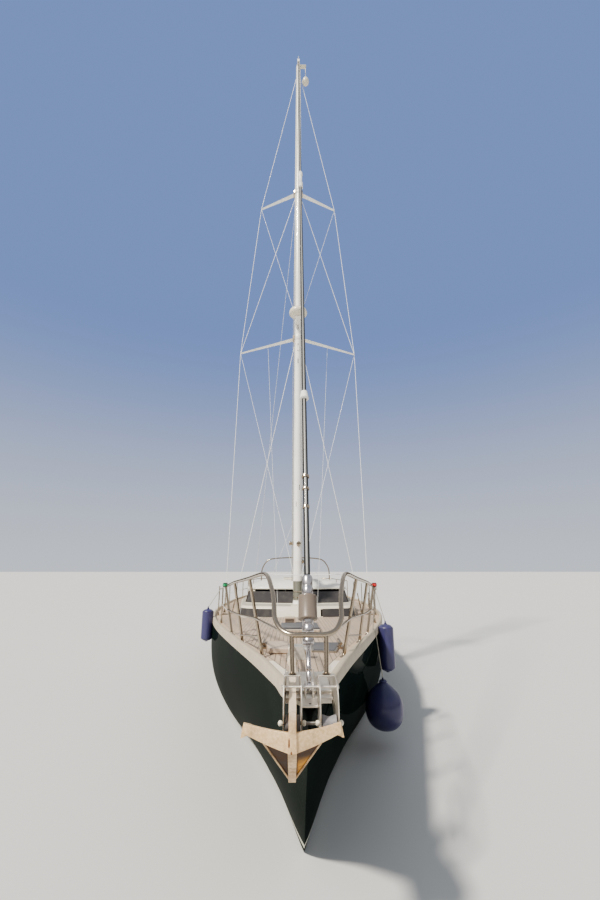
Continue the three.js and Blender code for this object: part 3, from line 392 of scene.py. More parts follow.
def new_group(name, inputs, outputs):
    """An empty shader group with named sockets: (name, kind, default) in, (name, kind) out."""
    tree = bpy.data.node_groups.new(name, "ShaderNodeTree")
    for label, kind, default in inputs:
        socket = tree.interface.new_socket(label, in_out="INPUT", socket_type="NodeSocket" + kind)
        if default is not None:
            socket.default_value = default
    for label, kind in outputs:
        tree.interface.new_socket(label, in_out="OUTPUT", socket_type="NodeSocket" + kind)
    given, out = tree.nodes.new("NodeGroupInput").outputs, tree.nodes.new("NodeGroupOutput").inputs
    return tree, Nodes(tree), given, out


def weathering_group():
    """Grime: blotches times runs down the surface, and a fine speckle, as masks from 0 to 1."""
    if "weathering" in bpy.data.node_groups:
        return bpy.data.node_groups["weathering"]
    tree, nodes, given, out = new_group(
        "weathering", [("Scale", "Float", 1.0), ("Amount", "Float", 0.5)],
        [("Grime", "Float"), ("Speckle", "Float")])
    at = nodes.add("ShaderNodeTexCoord").outputs["Object"]
    scaled = nodes.add(
        "ShaderNodeVectorMath", {0: at, "Scale": given["Scale"]}, operation="SCALE").outputs[0]
    blotches = nodes.between(nodes.noise(scaled, 1.3, 5, 0.6), 0.42, 0.78)
    runs = nodes.between(nodes.noise(scaled, 5.0, 3, 0.5, (1, 1, 0.12)), 0.4, 0.75)
    grime = nodes.plus(nodes.times(blotches, 0.6), nodes.times(runs, 0.4))
    speckle = nodes.between(nodes.noise(scaled, 60.0, 2, 0.5), 0.56, 0.74)
    tree.links.new(nodes.times(grime, given["Amount"]), out["Grime"])
    tree.links.new(nodes.times(speckle, given["Amount"]), out["Speckle"])
    return tree


def grain_group():
    """Fine surface: a value that varies by a few per cent, and a bumped normal."""
    if "fine grain" in bpy.data.node_groups:
        return bpy.data.node_groups["fine grain"]
    tree, nodes, given, out = new_group(
        "fine grain", [("Size", "Float", 0.004), ("Depth", "Float", 0.0002)],
        [("Value", "Float"), ("Normal", "Vector")])
    at = nodes.add("ShaderNodeTexCoord").outputs["Object"]
    noise = nodes.add("ShaderNodeTexNoise", {
        "Vector": at, "Scale": nodes.over(1.0, given["Size"]), "Detail": 2.0, "Roughness": 0.5}).outputs[0]
    tree.links.new(noise, out["Value"])
    tree.links.new(nodes.bump(noise, 1.0, given["Depth"]), out["Normal"])
    return tree


GROUPS = {"weathering": weathering_group, "fine grain": grain_group}


def material_with(name):
    """A new material, its node helper, its Principled shader and its Object coordinates."""
    material = bpy.data.materials.new(name)
    material.use_nodes = True
    nodes = Nodes(material.node_tree)
    at = nodes.add("ShaderNodeTexCoord").outputs["Object"]
    return material, nodes, material.node_tree.nodes["Principled BSDF"], at


def colour(name):
    return tuple(getattr(bpy.context.scene.yacht_colours, name))


def size(name):
    return getattr(bpy.context.scene.yacht_sizes, name)


def axes_of(nodes, at):
    return nodes.add("ShaderNodeSeparateXYZ", {0: at}).outputs


def painted(name, base, dirt, rough, coat=0.0, grime=0.35, scale=1.0, fine=0.006, depth=0.00008,
            shaded_flanks=None, span=(0.0, 1.0)):
    """A paint or moulded finish: its colour darkened towards dirt where grime lies; with a colour for the
    flanks, the base colour changes to it over that span of distances from the centre plane, which paints
    shade on the flanks of a part along the middle and leaves a painted highlight down its middle."""
    material, nodes, shader, at = material_with(name)
    # Painted shade on the flanks and a painted highlight down the middle, by distance from the centre plane
    if shaded_flanks:
        away = nodes.absolute(axes_of(nodes, at)[0])
        base = nodes.mix(nodes.between(away, *span), base, shaded_flanks)
    mask = nodes.group("weathering", {"Scale": scale, "Amount": grime})
    toned = nodes.mix(nodes.times(mask["Speckle"], 0.35), base, dirt)
    nodes.feed(shader, {
        "Base Color": nodes.mix(mask["Grime"], toned, dirt),
        "Roughness": nodes.between(mask["Grime"], 0.0, 1.0, rough, min(1.0, rough + 0.3)),
        "Normal": nodes.group("fine grain", {"Size": fine, "Depth": depth})["Normal"],
        "Coat Weight": coat, "Coat Roughness": 0.06})
    return material


def topsides_finish():
    """Deep gloss paint over the hull, a thin light line near the water and antifouling below."""
    material, nodes, shader, at = material_with("topsides_finish")
    z = axes_of(nodes, at)[2]
    grime = nodes.group("weathering", {"Scale": 0.8, "Amount": 0.5})["Grime"]
    cloudy = nodes.between(nodes.noise(at, 0.7, 4, 0.6), 0.35, 0.7)
    paint = nodes.mix(cloudy, colour("topsides"), colour("topsides_light"))
    salt = nodes.times(nodes.between(z, 1.0, 0.1), grime)
    paint = nodes.mix(nodes.times(salt, 0.1), paint, (0.16, 0.17, 0.15))
    low, high = (size("stripe_height") + side * size("stripe_width") / 2 for side in (-1, 1))
    line = nodes.band(z, low, high, STRIPE_SOFT)
    paint = nodes.mix(line, paint, nodes.mix(grime, colour("stripe"), (0.34, 0.33, 0.27)))
    weed = nodes.between(nodes.noise(at, 9.0, 5, 0.7), 0.3, 0.7)
    below = nodes.between(z, *BOOT_TOP)
    bottom = nodes.mix(weed, colour("antifouling"), (0.06, 0.075, 0.04))
    waves = nodes.bump(nodes.noise(at, 2.2, 2, 0.5), 0.5, 0.0015)
    nodes.feed(shader, {
        "Base Color": nodes.mix(below, paint, bottom),
        "Roughness": nodes.larger(nodes.between(grime, 0, 1, 0.10, 0.34), nodes.times(below, 0.7)),
        "Normal": nodes.bump(nodes.noise(at, 260.0, 2, 0.5), 0.6, 0.00004, waves),
        "Specular IOR Level": 0.0, "Coat Weight": 0.10, "Coat Roughness": 0.03})
    return material


def beam_at(nodes, y):
    """The deck's half-beam at y, by a curve through the hull's lines."""
    share = nodes.between(y, HULL_LINES[0, 0], HULL_LINES[-1, 0], smooth=False)
    curve = nodes.add("ShaderNodeFloatCurve", {"Value": share})
    line = curve.mapping.curves[0].points
    length = np.ptp(HULL_LINES[:, 0])
    spots = [((row[0] - HULL_LINES[0, 0]) / length, row[1] / CURVE_TOP) for row in HULL_LINES]
    for spot in spots[1:-1]:
        line.new(*spot)
    line[0].location, line[len(line) - 1].location = spots[0], spots[-1]
    for point in line:
        point.handle_type = "VECTOR"
    curve.mapping.update()
    return nodes.times(curve.outputs[0], CURVE_TOP)


def deck_finish():
    """Laid planks: light bleached wood in strips along the boat, dark seams between them,
    grain along each strip, and light mouldings at the bow and round the fore hatch."""
    material, nodes, shader, at = material_with("deck_finish")
    x, y, z = axes_of(nodes, at)[:3]
    away = nodes.absolute(x)
    inset = nodes.minus(beam_at(nodes, y), away)
    margin, seam_at = size("margin_width"), 0.5 - size("seam_width") / size("plank_width") / 2
    turn = nodes.over(away, size("plank_width"))
    strip = nodes.math("FLOOR", turn)
    seam = nodes.between(nodes.off_middle(turn), seam_at - 0.02, seam_at)
    which = nodes.add("ShaderNodeTexWhiteNoise", {"W": strip}, noise_dimensions="1D").outputs[0]
    along = nodes.over(nodes.plus(y, nodes.times(which, BOARD_LENGTH)), BOARD_LENGTH)
    seams = nodes.larger(seam, nodes.between(nodes.off_middle(along), 0.4985, 0.4992))
    board = nodes.add("ShaderNodeCombineXYZ", {0: strip, 1: nodes.math("FLOOR", along)}).outputs[0]
    tone = nodes.add("ShaderNodeTexWhiteNoise", {"Vector": board}, noise_dimensions="3D").outputs[0]
    grain = nodes.noise(at, *WOOD_GRAIN)
    wood = nodes.mix(tone, colour("deck_wood"), colour("deck_wood_grey"))
    wood = nodes.mix(nodes.between(grain, 0.35, 0.7, 0, 0.4), wood, colour("deck_wood_dark"))
    mask = nodes.group("weathering", {"Scale": 1.2, "Amount": 0.5})
    wood = nodes.mix(mask["Grime"], wood, (0.30, 0.25, 0.20))
    edge = nodes.between(inset, margin + 0.062, margin + 0.06)
    joint = nodes.between(nodes.absolute(nodes.minus(inset, margin + 0.061)), 0.004, 0.002)
    rim_wood = nodes.mix(
        nodes.between(grain, 0.35, 0.7, 0, 0.3), colour("deck_wood"), colour("deck_wood_dark"))
    planks = nodes.mix(edge, nodes.mix(seams, wood, colour("seam")), rim_wood)
    planks = nodes.mix(joint, planks, colour("seam"))
    bow = nodes.times(nodes.between(y, -6.40, -6.42), nodes.between(inset, 0.17, 0.165))
    hatch_x, hatch_y = (nodes.math("LESS_THAN", a, HATCH_RIM) for a in (
        away, nodes.absolute(nodes.minus(y, HATCH_Y))))
    rim = nodes.times(nodes.between(z, 1.5695, 1.572), nodes.times(hatch_x, hatch_y))
    for moulded in (bow, rim):
        planks = nodes.mix(moulded, planks, colour("moulding"))
    nodes.feed(shader, {
        "Base Color": planks, "Roughness": nodes.between(grain, 0.3, 0.8, 0.62, 0.82),
        "Normal": nodes.bump(nodes.minus(nodes.times(grain, 0.4), seams), 0.7, 0.0015)})
    return material


def sole_finish():
    """The cockpit's and cabin's floors and sides inside the hull: wood below, moulding above."""
    material, nodes, shader, at = material_with("sole_finish")
    turn = nodes.over(nodes.absolute(axes_of(nodes, at)[0]), size("plank_width"))
    facing = axes_of(nodes, nodes.add("ShaderNodeNewGeometry").outputs["Normal"])[2]
    grain = nodes.noise(at, *WOOD_GRAIN)
    wood = nodes.mix(nodes.between(grain, 0.3, 0.7), colour("deck_wood"), colour("deck_wood_dark"))
    floor = nodes.mix(nodes.between(nodes.off_middle(turn), 0.43, 0.46), wood, (0.035, 0.032, 0.03))
    mask = nodes.group("weathering", {"Scale": 1.5, "Amount": 0.3})
    side = nodes.mix(mask["Grime"], colour("moulding"), (0.42, 0.39, 0.32))
    nodes.feed(shader, {
        "Base Color": nodes.mix(nodes.between(facing, 0.6, 0.8), side, floor),
        "Roughness": nodes.between(grain, 0, 1, 0.35, 0.7), "Normal": nodes.bump(grain, 0.4, 0.0006)})
    return material


def metal(name, base, dull, rough, streak=40.0, grime=0.25):
    """Bare or polished metal with fine scratches and duller patches."""
    material, nodes, shader, at = material_with(name)
    mask = nodes.group("weathering", {"Scale": 3.0, "Amount": grime})
    scratch = nodes.noise(at, streak, 4, 0.7, (1, 1, 0.15))
    worn = nodes.between(scratch, 0.3, 0.75, rough, rough + 0.14)
    nodes.feed(shader, {
        "Base Color": nodes.mix(mask["Grime"], base, dull), "Metallic": 1.0,
        "Roughness": nodes.plus(worn, nodes.times(mask["Grime"], 0.25)),
        "Normal": nodes.bump(scratch, 0.25, 0.0003)})
    return material


def anchor_finish():
    """Galvanised steel gone chalky, with rust in patches, browner patches low down and two rust marks where
    the shank meets the arms; the upper shank is paler, a painted highlight."""
    material, nodes, shader, at = material_with("anchor_finish")
    patch = nodes.noise(at, 7.0, 6, 0.65)
    fine = nodes.noise(at, 60.0, 5, 0.7)
    runs = nodes.noise(at, 26.0, 4, 0.6, (1, 1, 0.1))
    rust = nodes.between(nodes.plus(nodes.times(patch, 0.7), nodes.times(runs, 0.3)), 0.54, 0.70)
    coat = nodes.mix(nodes.between(fine, 0.3, 0.7), colour("galvanised"), colour("galvanised_dark"))
    brown = nodes.mix(nodes.between(fine, 0.35, 0.65), colour("rust"), (0.09, 0.035, 0.015))
    x, _, z = axes_of(nodes, at)[:3]
    ragged = nodes.times(nodes.noise(at, 38.0, 3, 0.5), 1.6)
    marks = 0.0
    for middle_x, middle_z, width, height in RUST_MARKS:
        across = nodes.over(nodes.minus(x, middle_x), width)
        along = nodes.over(nodes.minus(z, middle_z), height)
        reach = nodes.plus(nodes.times(across, across), nodes.times(along, along))
        marks = nodes.larger(marks, nodes.between(nodes.plus(reach, ragged), 1.7, 1.1))
    # Painted highlight: paler towards the top of the shank
    coat = nodes.mix(nodes.between(z, 1.59, 1.68, 0.0, 0.8), coat, (0.88, 0.79, 0.66))
    # Browner in patches below about 1.5 m
    low = nodes.times(nodes.between(z, 1.53, 1.42), nodes.between(patch, 0.35, 0.6))
    rust = nodes.larger(nodes.times(nodes.plus(rust, low), 0.4), marks)
    nodes.feed(shader, {
        "Base Color": nodes.mix(rust, coat, brown),
        "Roughness": nodes.between(rust, 0, 1, 0.42, 0.85),
        "Metallic": nodes.between(rust, 0, 1, 0.35, 0.0),
        "Normal": nodes.bump(nodes.plus(fine, rust), 0.5, 0.0012)})
    return material


def fluke_finish():
    """The anchor's fluke plates: painted shadow in mottled dark brown, with a yellowish patch of painted
    sunlight low on the port side.
    """
    material, nodes, shader, at = material_with("fluke_finish")
    x, _, z = axes_of(nodes, at)[:3]
    patch = nodes.noise(at, 16.0, 5, 0.65)
    # Painted shadow: the plates are a mottled dark brown
    brown = nodes.mix(nodes.between(patch, 0.3, 0.7), (0.035, 0.016, 0.008), (0.085, 0.036, 0.014))
    # Painted sunlight: a yellow patch low on the port plate
    share = nodes.times(nodes.between(patch, 0.25, 0.5), nodes.between(z, 1.40, 1.30))
    sunlit_patch = nodes.mix(share, brown, (0.62, 0.30, 0.05))
    nodes.feed(shader, {
        "Base Color": nodes.mix(nodes.between(x, -0.09, -0.07), brown, sunlit_patch),
        "Roughness": nodes.between(patch, 0.2, 0.8, 0.6, 0.9),
        "Normal": nodes.bump(patch, 0.5, 0.0015)})
    return material


def spar_finish():
    """White painted spar: grey-green below the lowest fittings, scuffs and dirt runs along it."""
    material, nodes, shader, at = material_with("spar_finish")
    z = axes_of(nodes, at)[2]
    grime = nodes.group("weathering", {"Scale": 2.0, "Amount": 0.4})["Grime"]
    runs = nodes.between(nodes.noise(at, 14.0, 4, 0.6, (1, 1, 0.03)), 0.5, 0.8)
    white = nodes.mix(nodes.times(runs, 0.45), colour("spar"), (0.45, 0.43, 0.37))
    white = nodes.mix(grime, white, (0.5, 0.47, 0.4))
    low = nodes.mix(grime, colour("spar_foot"), (0.28, 0.3, 0.26))
    foot = nodes.band(z, *MAST_FOOT, MAST_SOFT)
    nodes.feed(shader, {
        "Base Color": nodes.mix(foot, white, low), "Roughness": nodes.between(runs, 0, 1, 0.28, 0.5),
        "Normal": nodes.group("fine grain", {"Size": 0.01, "Depth": 0.0001})["Normal"],
        "Coat Weight": 0.5, "Coat Roughness": 0.08})
    return material


def glass_finish():
    """Dark tinted panes: a smooth gloss surface with faint smears."""
    material, nodes, shader, at = material_with("glass_finish")
    smear = nodes.noise(at, 6.0, 5, 0.65, (1, 1, 0.3))
    nodes.feed(shader, {
        "Base Color": nodes.mix(nodes.between(smear, 0.4, 0.75), colour("glass"), (0.086, 0.08, 0.077)),
        "Roughness": nodes.between(smear, 0.3, 0.8, 0.02, 0.12), "Specular IOR Level": 0.35})
    return material


def rope_finish():
    """Laid rope: slanting strands as a wave across Object coordinates, with fibre noise, and painted shade
    that darkens the grooves between the strands.
    """
    material, nodes, shader, at = material_with("rope_finish")
    slant = nodes.add("ShaderNodeMapping", {"Vector": at, "Rotation": (0.6, 0.6, 0.3)}).outputs[0]
    strands = nodes.add("ShaderNodeTexWave", {
        "Vector": slant, "Scale": 42.0, "Distortion": 1.0, "Detail": 2.0}).outputs["Fac"]
    nodes.feed(shader, {
        "Base Color": nodes.mix(strands, colour("rope_groove_shade"), colour("rope")),
        "Roughness": nodes.between(strands, 0, 1, 0.95, 0.75), "Normal": nodes.bump(strands, 0.8, 0.002)})
    return material


# What makes each finish, and its values in that function's order. A colour given by a name is
# one of the settings.
FINISHES = {
    "topsides": (topsides_finish,),
    "deck": (deck_finish,),
    "sole": (sole_finish,),
    "white": (painted, "moulding_finish", "moulding", (0.50, 0.46, 0.37), 0.3, 0.3, 0.35),
    "roof": (painted, "roof_finish", "roof", (0.62, 0.6, 0.52), 0.45, 0.1, 0.25, 1.0, 0.0035, 0.0006),
    "rail": (painted, "toe_rail_finish", "toe_rail", (0.36, 0.31, 0.24), 0.5, 0.0, 0.6, 2.5, 0.02, 0.0006),
    "antifoul": (painted, "antifouling_finish", "antifouling", (0.05, 0.06, 0.03), 0.8, 0, 0.7),
    "bronze": (metal, "bronze_finish", (0.52, 0.31, 0.12), (0.16, 0.2, 0.12), 0.28),
    # The polished steel's colour is darkened and browned as a painted reflection of dark surroundings
    "steel": (metal, "steel_finish", "steel", (0.27, 0.215, 0.16), 0.12),
    "steel_dull": (metal, "dull_steel_finish", (0.36, 0.35, 0.33), (0.16, 0.14, 0.12), 0.38, 60, 0.6),
    "steel_plate": (metal, "steel_plate_finish", (0.46, 0.43, 0.39), (0.24, 0.21, 0.17), 0.24, 90, 0.4),
    "steel_satin": (metal, "satin_steel_finish", (0.56, 0.54, 0.56), (0.34, 0.31, 0.29), 0.20, 60, 0.3),
    "steel_light": (metal, "light_steel_finish", (0.80, 0.76, 0.70), (0.42, 0.38, 0.32), 0.36, 90, 0.35),
    "wire": (painted, "wire_finish", (0.92, 0.93, 0.94), (0.55, 0.53, 0.48), 0.35, 0.2, 0.4, 4.0),
    "anchor": (anchor_finish,),
    "fluke": (fluke_finish,),
    "spar": (spar_finish,),
    # The foil's light middle band is a painted highlight and its dark flanks are painted shade
    "foil": (painted, "foil_finish", (0.34, 0.34, 0.335), (0.10, 0.10, 0.095), 0.3, 0.1, 0.3,
             1.0, 0.006, 0.00008, (0.012, 0.013, 0.015), (0.006, 0.009)),
    "drum": (painted, "furler_drum_finish", "drum", (0.24, 0.2, 0.16), 0.36, 0.3, 0.5, 4.0),
    "glass": (glass_finish,),
    "locker": (painted, "locker_finish", (0.55, 0.45, 0.37), (0.38, 0.3, 0.23), 0.5, 0.1, 0.5, 2.0),
    "hatch": (painted, "hatch_finish", (0.085, 0.088, 0.105), (0.24, 0.22, 0.2), 0.42, 0.1, 0.4, 2.0),
    "roller": (painted, "roller_finish", (0.24, 0.24, 0.26), (0.12, 0.11, 0.1), 0.5, 0.0, 0.5, 5.0),
    "fender": (painted, "fender_finish", "fender", (0.09, 0.1, 0.13), 0.36, 0.25, 0.5, 2.5, 0.01, 0.0004),
    "engine": (painted, "engine_finish", (0.3, 0.33, 0.32), (0.06, 0.05, 0.04), 0.5, 0.0, 0.6, 3.0),
    "rope": (rope_finish,),
    "rubber": (painted, "rubber_finish", (0.015, 0.015, 0.016), (0.06, 0.06, 0.055), 0.7, 0.0, 0.4, 4.0),
    "teak": (painted, "trim_wood_finish", (0.36, 0.2, 0.1), (0.2, 0.13, 0.08), 0.45, 0.2, 0.6, 6.0),
    "green_light": (painted, "green_lens_finish", (0.0, 0.28, 0.1), (0.0, 0.12, 0.05), 0.1, 1.0, 0.2),
    "red_light": (painted, "red_lens_finish", (0.5, 0.01, 0.01), (0.2, 0.01, 0.01), 0.1, 1.0, 0.2),
}
READY = {}


def finish_of(name):
    """The material of that name, made when it is first asked for."""
    if name not in READY:
        make, *values = FINISHES[name]
        if values and isinstance(values[1], str):
            values[1] = colour(values[1])
        READY[name] = make(*values)
    return READY[name]


# ---------------------------------------------------------------- hull and deck

# Columns: place along the boat, deck half-beam, sheer height, keel-line height, fullness, roundness
HULL_LINES = np.array([
    (-7.78, 0.040, 1.600, 1.400, 1.0, 1.0),
    (-7.70, 0.095, 1.600, 1.340, 1.0, 1.0),
    (-7.13, 0.260, 1.585, 0.830, 1.05, 1.0),
    (-6.35, 0.488, 1.565, 0.000, 1.15, 1.0),
    (-5.30, 0.815, 1.535, -0.330, 1.5, 1.15),
    (-4.25, 1.135, 1.505, -0.470, 1.9, 1.35),
    (-3.22, 1.430, 1.475, -0.555, 2.5, 1.6),
    (-2.15, 1.695, 1.450, -0.600, 3.1, 1.8),
    (-0.85, 1.950, 1.420, -0.630, 3.7, 2.0),
    (0.65, 2.130, 1.395, -0.630, 4.0, 2.0),
    (2.15, 2.230, 1.375, -0.590, 4.1, 2.0),
    (4.15, 2.220, 1.370, -0.440, 4.1, 2.0),
    (6.15, 2.070, 1.375, -0.170, 4.1, 2.0),
    (7.70, 1.830, 1.385, 0.090, 4.1, 2.0),
])
TRANSOM = 7.70
CAMBER = 0.035  # rise of the deck at its middle over its half-beam
BEAM_MARGIN = 0.005  # how far the curve's widest place stays inside the table's
SKIN_OUT, SKIN_DOWN = 0.003, 0.0015  # how far the skin lies outside and below the lines
# Corners of saloon, cockpit, companionway, stern platform, fore hatch and rudder tube
WELLS = [
    ((-1.08, -0.70, 0.15), (1.08, 2.15, 3.0)), ((-0.78, 2.75, 0.76), (0.78, 6.25, 3.0)),
    ((-0.33, 2.10, 0.95), (0.33, 2.80, 3.0)), ((-1.10, 7.05, 0.43), (1.10, 7.75, 3.0)),
    ((-0.25, -4.25, 1.15), (0.25, -3.75, 3.0)), ((-0.06, 5.99, -0.9), (0.06, 6.11, 0.32)),
]


def lines_at(y):
    """Half-beam, sheer, keel line, fullness and roundness at y: on each span of the table the
    cubic through its two rows, with slopes from the neighbouring rows, no wider than the widest row."""
    ys, table = HULL_LINES[:, 0], HULL_LINES[:, 1:]
    slopes = np.gradient(table, ys, axis=0)
    y = np.clip(np.atleast_1d(y), ys[0], ys[-1])
    i = np.clip(np.searchsorted(ys, y, side="right") - 1, 0, len(ys) - 2)
    h = (ys[i + 1] - ys[i])[:, None]
    t = ((y - ys[i]) / h[:, 0])[:, None]
    lines = cubic(t, table[i], table[i + 1], h * slopes[i], h * slopes[i + 1]).T
    lines[0] = np.minimum(lines[0], table[:, 0].max() - BEAM_MARGIN)
    return lines


def deck_height(x, y):
    """sheer + camber beam (1 - (x / beam)^2), on straight lines between the table's rows."""
    beam, sheer = (np.interp(y, HULL_LINES[:, 0], HULL_LINES[:, k]) for k in (1, 2))
    return sheer + CAMBER * beam * (1 - (x / beam) ** 2)


def half_beam(y):
    return np.interp(y, HULL_LINES[:, 0], HULL_LINES[:, 1])


def hull_skin():
    """The hull's outside: at each place y and level s from keel to deck,
    x = beam (1 - (1 - s)^full)^(1 / round) and z = bottom + s (sheer - bottom)."""
    y = np.concatenate([np.linspace(-7.78, -6.0, 40), np.linspace(-5.9, TRANSOM, 110)])
    beam, sheer, bottom, full, roundness = lines_at(y)[..., None]
    s = np.linspace(0, 1, 34)[None] ** 1.7
    x = (beam + SKIN_OUT) * (1 - (1 - s) ** full) ** (1 / roundness)
    z = bottom + s * (sheer - bottom) - SKIN_DOWN
    half = np.stack([x, np.broadcast_to(y[:, None], x.shape), z], -1)
    rows = np.concatenate([half[:, ::-1] * vec(-1, 1, 1), half[:, 1:]], 1)
    tip = np.stack([rows[0] * vec(k, 1, 1) - vec(0, 0.012 * (1 - k * k) ** 0.5, 0) for k in (0.0, 0.45, 0.8)])
    return grid(np.concatenate([tip, rows]), wrap=False)


def well_faces(node):
    """The solid's faces that line the wells, the transom and the platform."""
    mesh = frame["nodes"][node].data.copy()
    centre, normal = (triples(mesh.polygons, key) for key in ("center", "normal"))
    keep = (centre[:, 1] > TRANSOM - 0.01) & (normal[:, 1] > 0.9)
    for low, high in WELLS:
        keep |= np.all((centre > vec(*low) - 0.002) & (centre < vec(*high) + 0.002), axis=1)
    with opened(mesh) as work:
        work.faces.ensure_lookup_table()
        bmesh.ops.delete(work, geom=[work.faces[i] for i in np.flatnonzero(~keep)], context="FACES")
        bmesh.ops.remove_doubles(work, verts=work.verts, dist=SOLID_JOIN)
        bmesh.ops.dissolve_limit(work, angle_limit=0.01, verts=work.verts, edges=work.edges)
    smooth(mesh, 28.65)
    return mesh


def toe_rail(side):
    """A rail along the deck's edge: a section with a rounded top carried along beam(y), sheer(y),
    its upper part lower by a share that falls to a third at the bow."""
    y = np.concatenate([np.linspace(-7.62, -7.1, 12), np.linspace(-7.0, TRANSOM, 120)])
    beam, sheer = lines_at(y)[:2]
    section = np.array([
        (0.0045, -0.052), (0.0045, 0.045), (-0.002, 0.057), (-0.012, 0.062), (-0.044, 0.062),
        (-0.054, 0.057), (-0.059, 0.045), (-0.061, -0.004)])
    share = np.interp(y, (-7.62, -6.6), (0.3, 1.0))[:, None]
    rows = np.stack([
        side * (beam[:, None] + section[None, :, 0]), np.repeat(y[:, None], len(section), 1),
        sheer[:, None] + np.where(section[None, :, 1] > 0, share, 1.0) * section[None, :, 1]], -1)
    return grid(closed_rows(rows))


class YACHT_OT_hull(Operator):
    """Builds the hull's smooth skin, the linings of its wells and the toe rails"""
    bl_idname = "yacht.hull"
    bl_label = "Hull and toe rails"

    def execute(self, context):
        build("hull_skin", hull_skin(), "topsides", replaces=("hull",), angle=60)
        place("hull_wells", well_faces("hull"), "sole")
        for name, side in SIDES:
            build("toe_rail_smooth_" + name, toe_rail(side), "rail",
                  replaces=("toe_rail_" + name,), angle=50)
        return {"FINISHED"}


# Undersides of the small pieces on the foredeck
LOCKER = [(-0.47, -5.42, 1.545), (-0.17, -5.42, 1.545), (-0.15, -6.08, 1.575), (-0.36, -6.08, 1.575)]
LIGHT_FRAME = [(0.10, -5.30, 1.545), (0.52, -5.30, 1.540), (0.37, -6.00, 1.565), (0.10, -6.00, 1.572)]
LIGHT_PANE = [(0.125, -5.33, 1.565), (0.485, -5.33, 1.560), (0.35, -5.975, 1.585), (0.125, -5.975, 1.592)]


class YACHT_OT_deck(Operator):
    """Finishes the planked deck and the fore hatch, and builds the locker, vent and deck light"""
    bl_idname = "yacht.deck"
    bl_label = "Deck and fore hatch"

    def execute(self, context):
        dress("deck", "deck", bevel=0.0, angle=12)
        dress("fore_hatch", "hatch", bevel=0.006)
        build("deck_locker", slab(LOCKER, (0, 0, 0.055)), "locker", bevel=0.012, segments=3)
        build("deck_vent", brick((-0.255, -3.24, 1.505), (-0.065, -3.10, 1.638)), "locker", bevel=0.008)
        build("vent_louvres", [brick((-0.238, -3.244, z), (-0.082, -3.236, z + 0.012))
                               for z in np.arange(1.535, 1.62, 0.022)], "rubber")
        build("deck_light_frame", slab(LIGHT_FRAME, (0, 0, 0.022)), "steel_plate", bevel=0.004)
        build("deck_light", slab(LIGHT_PANE, (0, 0, 0.006)), "hatch", bevel=0.002)
        return {"FINISHED"}


# ---------------------------------------------------------------- superstructure and cockpit

# Height, front, aft, half-width at the front, half-width aft, corner radius, bow of the front
HOUSE = np.array([
    (1.3000, -2.06, 2.7, 1.300, 1.500, 0.42, 0.13), (1.6600, -1.90, 2.7, 1.260, 1.470, 0.40, 0.13),
    (1.7000, -1.86, 2.7, 1.230, 1.440, 0.38, 0.13), (1.7005, -1.15, 2.7, 1.230, 1.360, 0.33, 0.15),
    (1.9900, -0.79, 2.7, 1.175, 1.235, 0.30, 0.15),
])
# Front of the bar down the middle of the windscreen
CENTRE_BAR = [
    (-0.022, -1.156, 1.708), (0.022, -1.156, 1.708), (0.022, -0.842, 1.952), (-0.022, -0.842, 1.952)]
# Distance of the panes' outer and inner faces from the house's outline
PANE_OUT, PANE_IN = 0.004, -0.02


def house_outline(z, grow):
    """The port half of the house's outline at a height, from the middle of its front: a quarter
    circle at the corner, then straight to the back; grow moves it outwards."""
    front, aft, wide, wide_aft, corner, bow = (np.interp(z, HOUSE[:, 0], HOUSE[:, k]) for k in range(1, 7))
    front, wide, wide_aft = front - grow, wide + grow, wide_aft + grow
    angle = np.radians([0, 30, 60, 90])
    arc = np.stack([wide - corner + corner * np.sin(angle), front + bow + corner * (1 - np.cos(angle))], -1)
    path = np.vstack([[(0, front), ((wide - corner) * 0.6, front + bow * 0.36)], arc,
                      [(wide_aft, front + (aft - front) * 0.55), (wide_aft * 0.98, aft)]])
    return np.column_stack([path, np.full(len(path), z)])


def pane(low, high, first, end, whole=False):
    """A dark pane round the house between two heights, from a point of the outline to a place aft."""
    rings = []
    for z, grow in ((low, PANE_OUT), (high, PANE_OUT), (high, PANE_IN), (low, PANE_IN)):
        path = house_outline(z, grow)
        last = vec(np.interp(end, path[4:, 1], path[4:, 0]), end, z)
        path = np.vstack([path[first:][path[first:, 1] < end], last])
        rings.append(np.vstack([path[::-1] * vec(-1, 1, 1), path[1:]]) if whole else path)
    return grid(closed_rows(np.stack(rings, 1)))


class YACHT_OT_house(Operator):
    """Finishes the coachroof, its roof, windows, doors and sliding hatch"""
    bl_idname = "yacht.house"
    bl_label = "Deckhouse"

    def execute(self, context):
        dress("coachroof", "white", bevel=0.008, angle=32, segments=3)
        dress("deckhouse_roof", "roof", bevel=0.012, angle=50, segments=3)
        build("window_band", pane(1.712, 1.948, 0, 2.42, whole=True), "glass",
              replaces=("windscreen", "side_glass_port", "side_glass_starboard"), angle=20)
        build("low_panes", both([pane(1.498, 1.652, 1, -1.0)]), "glass",
              replaces=("coachroof_windows",), angle=20)
        build("centre_bar", slab(CENTRE_BAR, (0, 0.02, 0.004)), "rubber", bevel=0.002)
        dress("companionway_slide", "white", bevel=0.006)
        for side in ("port", "starboard"):
            dress("companionway_door_" + side, "teak", bevel=0.003)
        return {"FINISHED"}


class YACHT_OT_cockpit(Operator):
    """Finishes the cockpit's coaming, pedestal, wheel, winches and the cabin's engine"""
    bl_idname = "yacht.cockpit"
    bl_label = "Cockpit"

    def execute(self, context):
        dress("cockpit_coaming", "white", bevel=0.015, segments=3)
        dress("steering_pedestal", "white", bevel=0.006)
        dress("steering_wheel", "steel", bevel=0.0, angle=50)
        dress("engine", "engine", bevel=0.02, segments=3)
        for side in ("port", "starboard"):
            dress("winch_" + side, "steel", bevel=0.002, angle=35)
        return {"FINISHED"}


